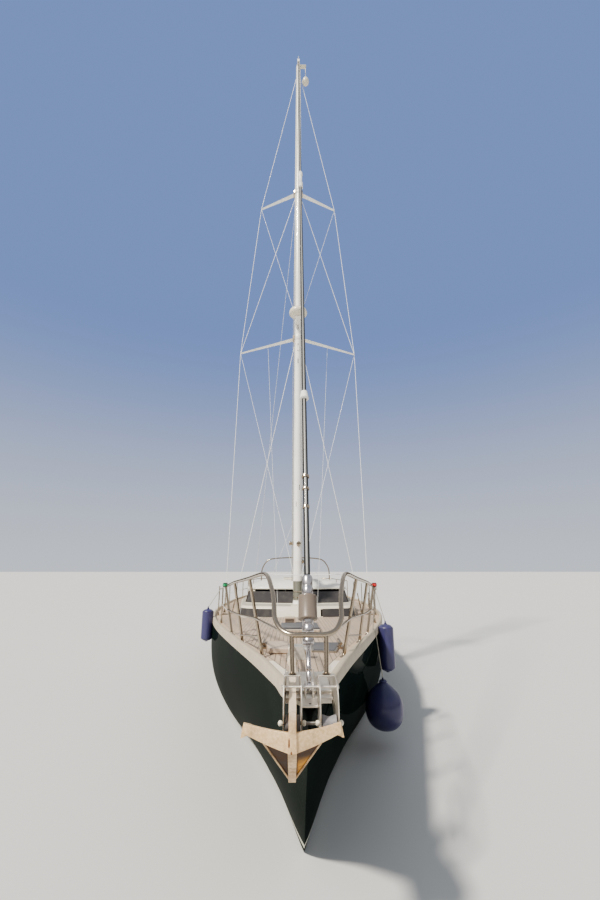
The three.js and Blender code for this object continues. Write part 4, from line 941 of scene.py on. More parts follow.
class YACHT_OT_underwater(Operator):
    """Finishes the keel, rudder, shaft and propeller"""
    bl_idname = "yacht.underwater"
    bl_label = "Keel, rudder and propeller"

    def execute(self, context):
        dress("keel", "antifoul", bevel=0.0, angle=50)
        dress("rudder", "antifoul", bevel=0.0, angle=50)
        dress("shaft_and_bracket", "bronze", bevel=0.0, angle=40)
        dress("propeller", "bronze", bevel=0.004, angle=40)
        return {"FINISHED"}


# ---------------------------------------------------------------- rig

def mast_ring(z, half, step, low, high, squash):
    """A ring round the mast: radius low at its edges and high from step above and below z."""
    return turned([(low, z - half), (high, z - step), (high, z + step), (low, z + half)],
                  (0, MAST_Y, 0), (0, 0, 1), 40, squash)


def mast_tube():
    """An oval tube: x = 0.1 k cos a, y = -1.45 + 0.135 k sin a, with k from 1 to 0.74 at the top,
    and a collar at each pair of spreaders."""
    profile = [(0.150, 1.700), (0.152, 1.735), (0.140, 1.750), (0.135, 1.765), (0.135, 7.0), (0.135, 13.5),
               (0.1175, 16.2), (0.0999, 18.95)]
    return [turned(profile, (0, MAST_Y, 0), (0, 0, 1), 48, 0.1 / 0.135)] + [
        mast_ring(z, 0.09, 0.085, 0.137, 0.141, 0.745) for z, *_ in SPREADER.values()]


# Corners of the mast's crane, the radome's bracket and the lugs for the boom and a halyard
MAST_LUGS = [
    ((-0.038, -1.68, 18.86), (0.038, -1.15, 18.975)), ((-0.06, -1.76, 8.745), (0.06, -1.51, 8.780)),
    ((-0.07, -1.89, 8.755), (0.07, -1.74, 8.780)), ((-0.028, -1.39, 2.818), (0.028, -1.194, 2.842)),
    ((-0.028, -1.39, 3.058), (0.028, -1.194, 3.082)), ((-0.03, -1.60, 7.93), (0.03, -1.56, 8.07)),
]


def mast_steel():
    """Gooseneck pin, halyard winches low on the mast, and the roots of the spreaders."""
    winch = [(0.040, 0.0), (0.052, 0.004), (0.052, 0.016), (0.036, 0.030), (0.034, 0.055), (0.042, 0.068),
             (0.052, 0.074), (0.052, 0.086), (0.046, 0.094), (0.020, 0.098)]
    shapes = [pole((0, -1.22, 2.84), (0, -1.22, 3.06), 0.0119, 20)]
    for foot, axis in (((-0.095, MAST_Y, 3.02), (-1, 0, 0)), ((0.095, MAST_Y, 2.62), (1, 0, 0)),
                       ((0.02, -1.583, 3.0), (0, -1, 0))):
        shapes.append(turned(winch, foot, axis, 28))
    for (z, *_), height in zip(SPREADER.values(), (0.06, 0.05)):
        shapes += both([slab([(0.094, -1.56, z - height), (0.135, -1.54, z - height * 0.7),
                              (0.135, -1.54, z + height * 0.7), (0.094, -1.56, z + height)], (0, 0.2, 0))])
    return shapes + [mast_ring(z, 0.012, 0.010, 0.128, 0.142, 0.75) for z in (1.86, 1.98)]


def mast_slots():
    """Black blocks as painted shade: they stand in for the dark openings of the halyard exits on the front of
    the mast and of the slot of its sail track.
    """
    shapes = [brick((-0.009, -1.5875, z - 0.07), (0.009, -1.575, z + 0.07)) for z in (7.62, 8.06, 8.62)]
    shapes += [brick((x - 0.007, -1.578, z - 0.06), (x + 0.007, -1.566, z + 0.06))
               for x, z in ((-0.034, 3.9), (0.034, 4.3))]
    shapes.append(brick((-0.008, -1.3165, 2.95), (0.008, -1.313, 13.5)))
    return shapes


def mast_halyards():
    """Halyards down the front and the sides of the mast, a few centimetres off it."""
    runs = [[(-0.05, -1.62, 18.80), (-0.075, -1.59, 12.0), (-0.118, -1.50, 2.2)],
            [(0.04, -1.64, 18.80), (0.08, -1.60, 12.0), (0.122, -1.48, 2.2)],
            [(-0.03, -1.26, 18.80), (-0.125, -1.42, 9.0), (-0.13, -1.40, 2.2)]]
    return [sweep(np.array(run), 0.0055, 8) for run in runs]


class YACHT_OT_spars(Operator):
    """Finishes the mast, boom, spreaders, radome and masthead gear"""
    bl_idname = "yacht.spars"
    bl_label = "Spars"

    def execute(self, context):
        build("mast_tube", mast_tube(), "spar", replaces=("mast",), angle=40, bevel=0.0)
        build("mast_lugs", [brick(*corners) for corners in MAST_LUGS], "spar", bevel=0.003)
        build("mast_steel", mast_steel(), "steel", angle=40)
        # Painted shade: black blocks for the mast's openings
        build("mast_slots", mast_slots(), "rubber", bevel=0.0)
        build("halyards", mast_halyards(), "rope", angle=60)
        dress("boom", "spar", bevel=0.004, angle=40)
        for side in ("port", "starboard"):
            for level in ("lower", "upper"):
                dress(f"{level}_spreader_{side}", "spar", bevel=0.003, angle=50)
        dress("radome", "white", bevel=0.0, angle=50)
        dress("masthead_gear", "white", bevel=0.002, angle=40)
        return {"FINISHED"}


# Forward face of the plate where the backstay splits
SPLIT_PLATE = [(-0.048, 5.99, 4.452), (0.048, 5.99, 4.452), (0.02, 5.99, 4.548), (-0.02, 5.99, 4.548)]
STAY_FOOT, STAY_HEAD = vec(0, -7.76, 1.68), vec(0, -1.64, 18.60)
STAY = unit(STAY_HEAD - STAY_FOOT)
MAST_Y = -1.45
# Height, half-span, sweep aft and rise of each pair of spreaders
SPREADER = {"lower": (8.35, 1.62, 0.75, -0.02), "upper": (13.34, 1.15, 0.54, -0.02)}
# Radius and distance up the stay from its pin, or up the shroud from its foot
STAY_SCREW = [
    (0.015, 0.03), (0.017, 0.05), (0.017, 0.085), (0.012, 0.095), (0.019, 0.105), (0.019, 0.13),
    (0.0165, 0.135), (0.0165, 0.235), (0.019, 0.24), (0.019, 0.258)]
SHROUD_SCREW = [
    (0.006, 0.01), (0.0125, 0.015), (0.0125, 0.085), (0.009, 0.09), (0.009, 0.11), (0.0175, 0.115),
    (0.0175, 0.13), (0.015, 0.135), (0.015, 0.3), (0.0175, 0.305), (0.0175, 0.32), (0.009, 0.325),
    (0.009, 0.35), (0.012, 0.355), (0.012, 0.43), (0.0075, 0.45)]
FURLER_METAL = [
    (0.020, 0.262), (0.040, 0.265), (0.043, 0.27), (0.043, 0.298), (0.040, 0.303), (0.026, 0.308),
    (0.024, 0.312), (0.024, 0.338), (0.040, 0.342), (0.043, 0.347), (0.043, 0.385), (0.041, 0.388),
    (0.041, 0.392), (0.043, 0.395), (0.043, 0.43), (0.030, 0.434), (0.030, 0.606), (0.040, 0.611),
    (0.043, 0.616), (0.043, 0.672), (0.0405, 0.676), (0.0405, 0.684), (0.042, 0.688), (0.042, 0.75),
    (0.036, 0.762), (0.028, 0.769)]
STAY_TERMINAL = [
    (0.007, 17.574), (0.007, 17.85), (0.012, 17.86), (0.016, 17.90), (0.016, 18.0), (0.010, 18.02)]
DRUM = [(0.03, 0.430), (0.066, 0.432), (0.072, 0.437), (0.073, 0.444), (0.0715, 0.450), (0.0715, 0.592),
        (0.073, 0.598), (0.072, 0.605), (0.066, 0.61), (0.03, 0.612)]
SWIVEL = [
    (0.026, 2.70), (0.046, 2.705), (0.050, 2.712), (0.048, 2.73), (0.038, 2.79), (0.036, 2.81),
    (0.026, 2.814)]
UPPER_SWIVEL = [
    (0.026, 8.25), (0.044, 8.26), (0.046, 8.30), (0.046, 8.46), (0.036, 8.48), (0.034, 8.80), (0.044, 8.82),
    (0.046, 8.90), (0.040, 8.98), (0.026, 9.0)]


def foil_spar():
    """The headfoil: radius 0.025 (1 - 0.2 e^(-((a - g) / 0.13)^2)) with a groove at each g aft,
    carried up the stay, with a joint every two metres."""
    n, b = (v[0] for v in across_of(np.array([STAY_FOOT, STAY_HEAD])))
    angle = np.linspace(0, math.tau, 40, endpoint=False)
    aft = math.atan2(b[1], n[1])
    off = (angle - aft + math.pi) % math.tau - math.pi
    radius = 0.025 * (1 - 0.2 * (np.exp(-((off - 0.45) / 0.13) ** 2) + np.exp(-((off + 0.45) / 0.13) ** 2)))
    joint = np.arange(2.0, 17.0, 2.0)[:, None] + np.array([-0.004, -0.002, 0.002, 0.004])
    at = np.concatenate([[0.775], joint.ravel(), [17.57]])
    shrink = np.ones(len(at))
    shrink[2:-1:4] = shrink[3:-1:4] = 0.93
    ring = radius[:, None] * (np.cos(angle)[:, None] * n + np.sin(angle)[:, None] * b)
    rows = STAY_FOOT + at[:, None, None] * STAY + ring[None] * shrink[:, None, None]
    return grid(closed_rows(rows))


# On the port side: feet of the cap and lower shrouds, and the lower one's root on the mast
CAP_FOOT, LOW_FOOT, LOW_ROOT = vec(1.7, -0.76, 1.475), vec(1.51, -0.84, 1.475), vec(0.07, MAST_Y, 8.24)


def on_side(side, point):
    """The port point, or its mirror image where side is -1."""
    return point * vec(side, 1, 1)


def tip_of(level, side):
    z, span, sweep_aft, rise = SPREADER[level]
    return vec(side * span, MAST_Y + sweep_aft, z + rise)


def wire(a, b, radius=0.0065):
    return pole(a, b, radius, 8)


def shroud_wires(side):
    """Cap shroud over both spreader tips, the diagonal and the lower shroud."""
    cap = [vec(side * 0.06, MAST_Y, 18.45), tip_of("upper", side), tip_of("lower", side),
           on_side(side, CAP_FOOT)]
    return [wire(a, b) for a, b in zip(cap, cap[1:])] + [
        wire(vec(side * 0.07, MAST_Y, 13.23), cap[2]), wire(on_side(side, LOW_ROOT), on_side(side, LOW_FOOT))]


def shroud_screws(side):
    """Rigging screws, the tangs that they stand on and the plate through the deck."""
    shapes = []
    for foot, head in ((on_side(side, CAP_FOOT), tip_of("lower", side)),
                       (on_side(side, LOW_FOOT), on_side(side, LOW_ROOT))):
        up = unit(head - foot)
        shapes += [turned(SHROUD_SCREW, foot, up, 18),
                   turned([(0.011, -0.026), (0.011, 0.026)], foot + up * 0.03, (1, 0, 0), 16)]
        shapes += [brick(foot + vec(x - 0.004, -0.024, -0.1), foot + vec(x + 0.004, 0.024, 0.052))
                   for x in (-0.016, 0.016)]
    inner, outer = sorted((side * 1.46, side * 1.75))
    return shapes + [brick((inner, -0.92, 1.38), (outer, -0.70, 1.452))]


def spare_lines():
    """Lines that run beside the shrouds: from the spreaders to the mast and its foot, and one
    running backstay on the starboard side."""
    shapes = []
    for side in (1, -1):
        shapes += [wire(tip_of("upper", side), vec(side * 0.09, MAST_Y + 0.08, 9.2), 0.004),
                   wire(tip_of("lower", side), vec(side * 0.078, MAST_Y - 0.09, 2.30), 0.004),
                   wire(vec(side * 0.82, MAST_Y + 0.39, 8.33), vec(side * 0.43, -1.62, 1.695), 0.003)]
    return shapes + [wire(vec(-0.07, MAST_Y + 0.1, 13.07), vec(-1.66, 6.2, 1.5), 0.0045)]


class YACHT_OT_rigging(Operator):
    """Builds the shrouds, backstay, forestay, headsail furler and the lines beside them"""
    bl_idname = "yacht.rigging"
    bl_label = "Standing rigging and furler"

    def execute(self, context):
        for name, side in SIDES:
            build("shroud_wires_" + name, shroud_wires(side), "wire",
                  replaces=("shrouds_" + name,), angle=60)
            build("shroud_screws_" + name, shroud_screws(side), "steel", bevel=0.0015, angle=40)
        split, leg_foot = vec(0, 6.0, 4.5), vec(1.3, 7.56, 1.4)
        back = [wire((0, -1.188, 18.83), split)]
        back += both([wire(split + vec(0.026, 0.002, -0.014), leg_foot),
                      turned([(0.008, 0), (0.016, 0.01), (0.016, 0.3), (0.008, 0.33)],
                             leg_foot + vec(0, 0, 0.02), split - leg_foot, 16)])
        back.append(slab(SPLIT_PLATE, (0, 0.012, 0)))
        back += both([brick((1.29, 7.50, 1.35), (1.31, 7.62, 1.455))])
        build("backstay_wires", back, "wire", replaces=("backstay",), angle=50)
        pin = [([(0.024, -0.013), (0.026, -0.011), (0.026, 0.011), (0.024, 0.013)], 20),
               ([(0.008, -0.036), (0.008, 0.036)], 16), ([(0.013, 0.034), (0.013, 0.042)], 16)]
        foot = [turned(STAY_SCREW, STAY_FOOT, STAY, 16)] + [
            turned(profile, STAY_FOOT, (1, 0, 0), sides) for profile, sides in pin]
        build("stay_screw", foot, "steel_satin", replaces=("forestay_foot",), angle=40)
        build("furler_metal", turned(FURLER_METAL, STAY_FOOT, STAY, 36), "steel_satin", "furler",
              replaces=("furler_drum",), angle=40)
        build("furler_shell", turned(DRUM, STAY_FOOT, STAY, 40), "drum", "furler", angle=40)
        build("headfoil", foil_spar(), "foil", "furler", replaces=("forestay_foil",), angle=30)
        rings = [turned([(0.026, a), (r, a + 0.004), (r, b - 0.004), (0.026, b)], STAY_FOOT, STAY, 28)
                 for a, b, r in ((1.37, 1.40, 0.032), (1.56, 1.585, 0.034), (1.69, 1.72, 0.036))]
        build("foil_rings", rings, "steel", "furler", angle=35)
        build("foil_swivels", [turned(profile, STAY_FOOT, STAY, 32) for profile in (SWIVEL, UPPER_SWIVEL)],
              "spar", "furler", angle=35)
        build("stay_terminal", turned(STAY_TERMINAL, STAY_FOOT, STAY, 16), "steel", angle=40)
        dress("forestay_head", "steel", bevel=0.0, angle=40)
        build("spare_lines", spare_lines(), "wire", angle=60)
        return {"FINISHED"}


# ---------------------------------------------------------------- bow gear, rails and fenders

CHANNEL = -0.113  # middle of the channel that the anchor lies in
# Along the boat and height of the rollers' axle and of the keeper rod
AXLE, KEEPER = (-8.02, 1.545), (-7.95, 1.725)
SHANK_SLOPE = 0.17
CROWN_Y, CROWN_Z = -8.175, 1.49
# Outline of the bow fitting's cheeks: along the boat and height
CHEEK = [
    (-7.150, 1.560), (-7.150, 1.660), (-7.600, 1.690), (-7.760, 1.752), (-7.800, 1.768), (-7.985, 1.768),
    (-8.030, 1.755), (-8.070, 1.710), (-8.084, 1.655), (-8.085, 1.600), (-8.060, 1.510), (-8.035, 1.489),
    (-8.000, 1.480), (-7.840, 1.500), (-7.720, 1.540)]
# The same of the two lugs that hold the forestay's pin
STAY_LUG = [(-7.80, 1.61), (-7.795, 1.69), (-7.775, 1.711), (-7.745, 1.711), (-7.72, 1.69), (-7.70, 1.61)]
# Corners of the plates under and between the cheeks, and of the two bridges over the channels
BOW_PLATES = [
    ((-0.162, -7.70, 1.56), (0.162, -7.16, 1.64)), ((-0.162, -7.80, 1.608), (0.162, -7.70, 1.622)),
    ((-0.052, -7.96, 1.608), (0.052, -7.80, 1.622)), ((-0.167, -7.880, 1.766), (-0.060, -7.825, 1.775)),
    ((0.060, -7.880, 1.766), (0.167, -7.825, 1.775)),
]


def shank_height(y):
    return 1.6335 + SHANK_SLOPE * (y - AXLE[0])


def lofted(rows):
    """A closed form through outlines with the same number of points."""
    return grid(closed_rows(np.asarray(rows, float)))


def cross_row(y0, y1, z0, z1, half):
    """Four corners across the anchor's channel, from y0 and z0 to y1 and z1."""
    low, high = CHANNEL - half, CHANNEL + half
    return [(low, y0, z0), (high, y0, z0), (high, y1, z1), (low, y1, z1)]


def shank_bar(places, lift, half, deep):
    """A bar along the shank through the places, lifted off its middle line."""
    return lofted([cross_row(y, y, shank_height(y) + lift - deep, shank_height(y) + lift + deep, half)
                   for y in places])


def anchor_frame():
    """The shank as a web between two flanges, the crown's head and two curved arms with end lugs
    and stays, and the keel beam with the two bars along the flukes' edges."""
    y0, z0 = CROWN_Y, CROWN_Z
    shank = shank_bar((-8.15, -7.9, -7.6, -7.32, -7.26), 0.0, 0.019, 0.034)
    cap, sole = (shank_bar((-8.15, -7.30), lift, 0.023, 0.006) for lift in (0.032, -0.032))
    head = lofted([cross_row(y0 - 0.028, y0 + 0.055, z, z, w)
                   for z, w in ((z0 - 0.04, 0.025), (z0 + 0.08, 0.022), (1.649, 0.021))])
    arms = []
    for side in (1, -1):
        u = np.linspace(0, 1, 9)[:, None]
        middle = vec(CHANNEL, y0 - 0.010, z0 + 0.005) + u * vec(side * 0.288, 0.067, 0.063)
        droop = np.sin(np.pi * u[:, 0]) * -0.006
        up = 0.054 - 0.032 * u[:, 0]
        down = 0.052 - 0.022 * u[:, 0]
        rows = np.stack([middle + np.stack([0 * droop, np.full(9, dy), droop + k * h], -1) for dy, k, h in (
            (-0.011, -1, down), (-0.011, 1, up), (0.011, 1, up), (0.011, -1, down))], 1)
        arms.append(grid(closed_rows(rows)))
        tip = middle[-1]
        arms.append(slab([tip + vec(-side * 0.045, 0, 0.010), tip + vec(side * 0.002, 0, 0.020),
                          tip + vec(side * 0.018, 0, -0.058), tip + vec(-side * 0.05, 0, -0.036)],
                         (0, 0.020, 0)))
        arms.append(pole(tip + vec(side * 0.006, 0, -0.05), tip + vec(side * 0.004, 0.13, -0.075), 0.006, 10))
    beam = lofted([cross_row(y, y + 0.022, z - w, z + w, w) for y, z, w in (
        (y0 + 0.01, z0 - 0.01, 0.027), (-7.9, 1.25, 0.025), (-7.8, 1.17, 0.024))])
    edges = [pole((CHANNEL + side * 0.168, -8.125, 1.478), (CHANNEL + side * 0.012, -7.795, 1.155), 0.006, 10)
             for side in (1, -1)]
    return [shank, cap, sole, head, beam] + arms + edges


def anchor_flukes():
    """The two plates between the arms and the keel beam."""
    shapes = []
    for side in (1, -1):
        corners = np.array([(CHANNEL + side * 0.01, CROWN_Y, 1.465), (CHANNEL + side * 0.166, -8.125, 1.485),
                            (CHANNEL + side * 0.01, -7.79, 1.165)])
        normal = unit(np.cross(corners[1] - corners[0], corners[2] - corners[0])) * 0.004
        shapes.append(slab(corners - normal, 2 * normal))
    return shapes


def bow_rods():
    """The keeper rod over the channels and its nuts."""
    nuts = [turned([(0.013, -0.006), (0.013, 0.006)], (x, *KEEPER), (1, 0, 0), 6) for x in (-0.180, 0.180)]
    return [pole((-0.184, *KEEPER), (0.184, *KEEPER), 0.008, 16)] + nuts


def axle_knobs():
    """Rounded nuts on the axle, outside and inside the cheeks."""
    a = np.radians([15, 40, 65, 90, 115, 140, 165])
    return [turned(np.stack([0.0165 * np.sin(a), -0.0145 * np.cos(a)], 1), (x, *AXLE), (1, 0, 0), 24)
            for x in (-0.188, -0.041, 0.041, 0.188)]


class YACHT_OT_bow(Operator):
    """Builds the bow fitting and the anchor, and finishes the rollers, windlass and cleats"""
    bl_idname = "yacht.bow"
    bl_label = "Bow fitting and anchor"

    def execute(self, context):
        cheeks = [slab([(x - 0.0035, y, z) for y, z in CHEEK], (0.007, 0, 0))
                  for x in (-0.168, -0.058, 0.058, 0.168)]
        build("bow_cheeks", cheeks, "steel_light", replaces=("bow_roller",), bevel=0.0015, angle=30)
        build("bow_base", [brick(*corners) for corners in BOW_PLATES], "steel_light", bevel=0.003, angle=30)
        build("shank_collar", turned(
            [(0.028, 0), (0.038, 0.004), (0.041, 0.012), (0.041, 0.066), (0.034, 0.078), (0.020, 0.086)],
            (CHANNEL, -7.36, shank_height(-7.36)), (0, 1, SHANK_SLOPE), 28), "anchor", angle=50)
        # Painted shade: a black disc stands in for the dark inside of the hole in the bow plate
        build("nose_hole", disc((0, -7.925, 1.6215), (0, 0, 1), 0.009, 0.0015, 0.0005), "rubber")
        build("bow_axle", pole((-0.19, *AXLE), (0.19, *AXLE), 0.0098, 20), "steel_dull", angle=50)
        build("axle_knobs", axle_knobs(), "white", angle=60)
        lugs = [slab([(x - 0.006, y, z) for y, z in STAY_LUG], (0.012, 0, 0)) for x in (-0.026, 0.026)]
        build("stay_lugs", lugs, "steel_light", bevel=0.0015, angle=30)
        build("bow_rods", bow_rods(), "steel_light", angle=40)
        build("anchor_frame", anchor_frame(), "anchor", replaces=("anchor",),
              bevel=0.003, angle=35)
        build("anchor_flukes", anchor_flukes(), "fluke", bevel=0.001, angle=35)
        dress("windlass", "steel_light", bevel=0.006, angle=35)
        for side in ("port", "starboard"):
            dress("bow_roller_wheel_" + side, "roller", bevel=0.001, angle=40)
            dress("bow_cleat_" + side, "steel", bevel=0.006)
            dress("stern_cleat_" + side, "steel", bevel=0.006)
        return {"FINISHED"}


# Columns: distance off the middle, place along the boat and height of the pulpit's top rail
PULPIT = np.array([
    (1.170, -4.200, 2.185), (0.900, -5.150, 2.280), (0.610, -6.150, 2.350), (0.395, -6.900, 2.412),
    (0.330, -7.180, 2.400), (0.265, -7.480, 2.250), (0.248, -7.680, 2.100), (0.200, -7.760, 2.035),
    (0.130, -7.800, 2.010),
])
# Columns: foot and head of each pulpit leg, off the middle and along the boat
PULPIT_LEGS = [(1.008, -4.35, 1.150, -4.26), (0.758, -5.16, 0.893, -5.17), (0.424, -6.22, 0.590, -6.22)]
STANCHIONS = (-2.6, -0.9, 0.9, 2.7, 4.3)
# Radius and height of a lifeline post and of its socket
POST = [(0.0125, 0), (0.0125, 0.2), (0.0105, 0.625), (0.009, 0.638), (0.005, 0.643)]
POST_SOCKET = [(0.036, -0.004), (0.036, 0.006), (0.021, 0.012), (0.0175, 0.085), (0.0145, 0.09)]
RAIL_HEIGHT = 0.64
# Heights of the lifelines' two wires over the deck, and where they end on the port side's pulpit
TOP_WIRE, LOW_WIRE = RAIL_HEIGHT - 0.012, 0.33
TOP_END, LOW_END = vec(1.185, -4.182, 2.185), vec(1.118, -4.285, 1.860)


def on_deck(x, y, lift=0.0):
    return vec(x, y, float(deck_height(abs(x), y)) + lift)


def rail_point(side, y, lift):
    """A point over the lifelines' line, which runs 0.12 m inside the deck's edge."""
    return on_deck(side * (float(half_beam(y)) - 0.12), y, lift)


def pulpit_tubes():
    """The bent top rail, its legs, the rails between them and the feet on the deck."""
    top = np.vstack([PULPIT, PULPIT[::-1] * vec(-1, 1, 1)])
    shapes = [sweep(rounded(top, 0.15, 9), 0.0185, 22)]
    half = []
    for foot_x, foot_y, head_x, head_y in PULPIT_LEGS:
        foot = on_deck(foot_x, foot_y, 0.0)
        head = vec(head_x, head_y, float(np.interp(head_y, PULPIT[::-1, 1], PULPIT[::-1, 2])))
        half += [pole(foot, head, 0.0180, 20), disc(foot - vec(0, 0, 0.004), (0, 0, 1), 0.042, 0.012)]
        half.append(turned([(0.0235, 0), (0.0235, 0.02), (0.019, 0.03)], foot, head - foot, 18))
    middle = [(1.100, -4.300, 1.860), (0.832, -5.165, 1.880), (0.520, -6.220, 1.950), (0.170, -7.765, 2.020)]
    half.append(sweep(rounded(middle, 0.12), 0.012, 14))
    half.append(pole((0.790, -5.160, 1.630), (0.468, -6.220, 1.770), 0.010, 12))
    foot = (0.114, -7.850, 1.774)
    half.append(pole((0.122, -7.798, 2.008), foot, 0.0165, 20))
    half.append(turned([(0.027, 0), (0.027, 0.006), (0.0175, 0.012)], foot, (0.03, 0.2, 1), 20))
    return shapes + both(half)


def stanchions(side):
    """Tapered posts with a cap and a socket on a plate, as the lifelines' posts."""
    shapes = []
    for y in STANCHIONS:
        foot, head = rail_point(side, y, 0.0), rail_point(side, y, RAIL_HEIGHT)
        shapes += [turned(POST, foot, head - foot, 18), turned(POST_SOCKET, foot, head - foot, 20)]
        shapes += [turned([(0.0165, -0.012), (0.0165, 0.012)], rail_point(side, y, lift), (0, 1, 0), 12)
                   for lift in (LOW_WIRE, TOP_WIRE)]
    return shapes


def lifeline_wires(side):
    """The two wires each side, from the pulpit's end through the posts to the pushpit."""
    shapes = []
    for lift, bow in ((TOP_WIRE, TOP_END), (LOW_WIRE, LOW_END)):
        points = [on_side(side, bow)] + [rail_point(side, y, lift) for y in (*STANCHIONS, 5.378)]
        shapes.append(sweep(np.array(points), 0.0042, 8, round_ends=False))
        aft = points[-1] - points[-2]
        shapes.append(turned([(0.004, 0), (0.009, 0.02), (0.009, 0.16), (0.005, 0.18)],
                             points[-1] - unit(aft) * 0.2, aft, 12))
    return shapes


def wire_at(side, y):
    """A point on the upper wire, which runs straight from post to post."""
    points = np.array([on_side(side, TOP_END)] + [rail_point(side, at, TOP_WIRE) for at in STANCHIONS])
    return vec(*(np.interp(y, points[:, 1], points[:, k]) for k in range(3)))


def pushpit_tubes(side):
    """The stern rail, its lower rail, legs and feet."""
    stern = on_deck(side * 1.18, 7.56, RAIL_HEIGHT)
    corner = vec(side * 1.6, 7.48, stern[2])
    run, low = ([rail_point(side, y, lift) for y in (5.4, 6.4, 7.25)] for lift in (RAIL_HEIGHT, LOW_WIRE))
    low += [vec(*point[:2], 1.745) for point in (corner, stern)]
    shapes = [sweep(rounded(run + [corner, stern], 0.2, 9), 0.0145, 18),
              sweep(rounded(low, 0.2, 9), 0.0105, 14)]
    for x, y, _ in run + [stern]:
        foot = on_deck(x, y)
        shapes += [pole(foot, foot + vec(0, 0, RAIL_HEIGHT), 0.0135, 16),
                   disc(foot - vec(0, 0, 0.004), (0, 0, 1), 0.042, 0.012)]
    return shapes


def arch_tube():
    """The bent tube over the cockpit, with its feet."""
    half = np.array([(1.26, 4.65, 1.375), (1.26, 4.65, 1.9), (1.24, 4.65, 2.5), (1.03, 4.65, 2.8),
                     (0.66, 4.65, 2.85)])
    path = np.vstack([half, [(0, 4.65, 2.875)], half[::-1] * vec(-1, 1, 1)])
    foot = [disc(on_deck(1.26, 4.65, -0.004), (0, 0, 1), 0.055, 0.014)]
    return [sweep(rounded(path, 0.3, 10), 0.0205, 20)] + both(foot)


class YACHT_OT_rails(Operator):
    """Builds the pulpit, pushpits, lifelines, the cockpit arch and the lights on the pulpit"""
    bl_idname = "yacht.rails"
    bl_label = "Rails"

    def execute(self, context):
        build("pulpit_tubes", pulpit_tubes(), "steel", replaces=("pulpit",), angle=50)
        build("arch_tube", arch_tube(), "steel", replaces=("cockpit_arch",), angle=50)
        for name, side in SIDES:
            build("stanchions_" + name, stanchions(side), "steel",
                  replaces=("lifelines_" + name,), angle=50)
            build("lifeline_wires_" + name, lifeline_wires(side), "wire", angle=60)
            build("pushpit_tubes_" + name, pushpit_tubes(side), "steel",
                  replaces=("pushpit_" + name,), angle=50)
            head = vec(side * 1.135, -4.42, 2.222)
            build("light_body_" + name, turned(
                [(0.028, -0.03), (0.034, -0.028), (0.034, 0.028), (0.028, 0.03)], head, (0, 0, 1), 20),
                "rubber", angle=40)
            build("light_lens_" + name, turned(
                [(0.03, -0.02), (0.036, -0.016), (0.036, 0.016), (0.03, 0.02)],
                head + vec(side * 0.003, -0.012, 0), (0, 0, 1), 20),
                "red_light" if side > 0 else "green_light", angle=40)
        sag = [(0.372, -7.02, 2.408), (0, -7.03, 2.398), (-0.372, -7.02, 2.408)]
        build("pulpit_wire", sweep(sag, 0.0035, 8), "wire", angle=60)
        return {"FINISHED"}


# Columns: radius, half-height, place along the boat, height of the middle, side
FENDERS = {
    "fender_ball_port": (0.272, 0.350, -4.220, 0.547, 1),
    "fender_long_port": (0.125, 0.365, -3.600, 1.215, 1),
    "fender_long_starboard": (0.115, 0.310, -1.900, 1.360, -1),
}
# Radius and height of each skin as shares of the fender's radius and half-height
BALL = [(0.0, -0.88), (0.3, -0.86), (0.58, -0.78), (0.8, -0.63), (0.94, -0.42), (1.0, -0.17), (0.985, 0.08),
        (0.9, 0.3), (0.73, 0.5), (0.5, 0.67), (0.3, 0.79), (0.19, 0.86), (0.15, 0.9)]
LONG = [(0.12, -0.99), (0.3, -0.975), (0.62, -0.93), (0.87, -0.86), (0.98, -0.78), (1.0, -0.7), (1.0, 0.7),
        (0.98, 0.78), (0.87, 0.86), (0.62, 0.93), (0.3, 0.96), (0.2, 0.97)]


def fender(name):
    """The skin of a fender, its moulded eye, and the lanyard over the toe rail."""
    radius, half, y, z, side = FENDERS[name]
    low, high = reach_of(name)
    x = high[0] - radius if side > 0 else low[0] + radius
    shares = curve_through(np.array([(r, h, 0) for r, h in (BALL if "ball" in name else LONG)]), 4)
    profile = np.stack([np.maximum(shares[:, 0], 0) * radius, shares[:, 1] * half], 1)
    skin = turned(profile, (x, y, z), (0, 0, 1), 40)
    neck = half * (0.9 if "ball" in name else 0.97)
    angle = np.linspace(0, math.tau, 25)[:, None]
    eye = vec(x, y, z + neck + 0.022) + 0.022 * (np.cos(angle) * vec(0, 1, 0) + np.sin(angle) * vec(0, 0, 1))
    collars = [turned([(radius * 0.2, -0.012), (radius * 0.22, 0.0), (radius * 0.16, 0.016)],
                      (x, y, z + neck), (0, 0, 1), 24)]
    if "long" in name:
        collars.append(turned([(radius * 0.2, -0.014), (radius * 0.22, 0.0), (radius * 0.2, 0.01)],
                              (x, y, z - neck), (0, 0, 1), 24))
    beam, sheer = (float(v[0]) for v in lines_at(y)[:2])
    rail = vec(side * 1.184, y, 2.18) if y < -4.1 else wire_at(side, y)
    top, end = vec(x, y, z + neck + 0.03), rail + vec(side * 0.006, 0, -0.01)
    over = [vec(side * (beam + 0.013), y, sheer + 0.045), vec(side * (beam - 0.024), y, sheer + 0.071)]
    bends = over if top[2] < sheer + 0.062 else [(top + end) / 2]
    lead = sweep(rounded([top, *bends, end], 0.03, 5), 0.006, 10)
    knot = rail + vec(side * 0.008, 0, -0.02)
    hitch = [sweep(np.array([knot + 0.017 * vec(math.cos(a) * 1.1, k * 0.011, math.sin(a)) for a in
                             np.linspace(0, math.tau, 17)]), 0.006, 8) for k in (-1, 0, 1)]
    return [skin, sweep(eye, 0.009, 10)] + collars, [lead] + hitch


class YACHT_OT_fenders(Operator):
    """Builds the fenders and the lanyards that hold them"""
    bl_idname = "yacht.fenders"
    bl_label = "Fenders"

    def execute(self, context):
        for node in FENDERS:
            skin, cord = fender(node)
            build(node + "_skin", skin, "fender", replaces=(node,), angle=50)
            build(node + "_lanyard", cord, "rope", angle=60)
        return {"FINISHED"}


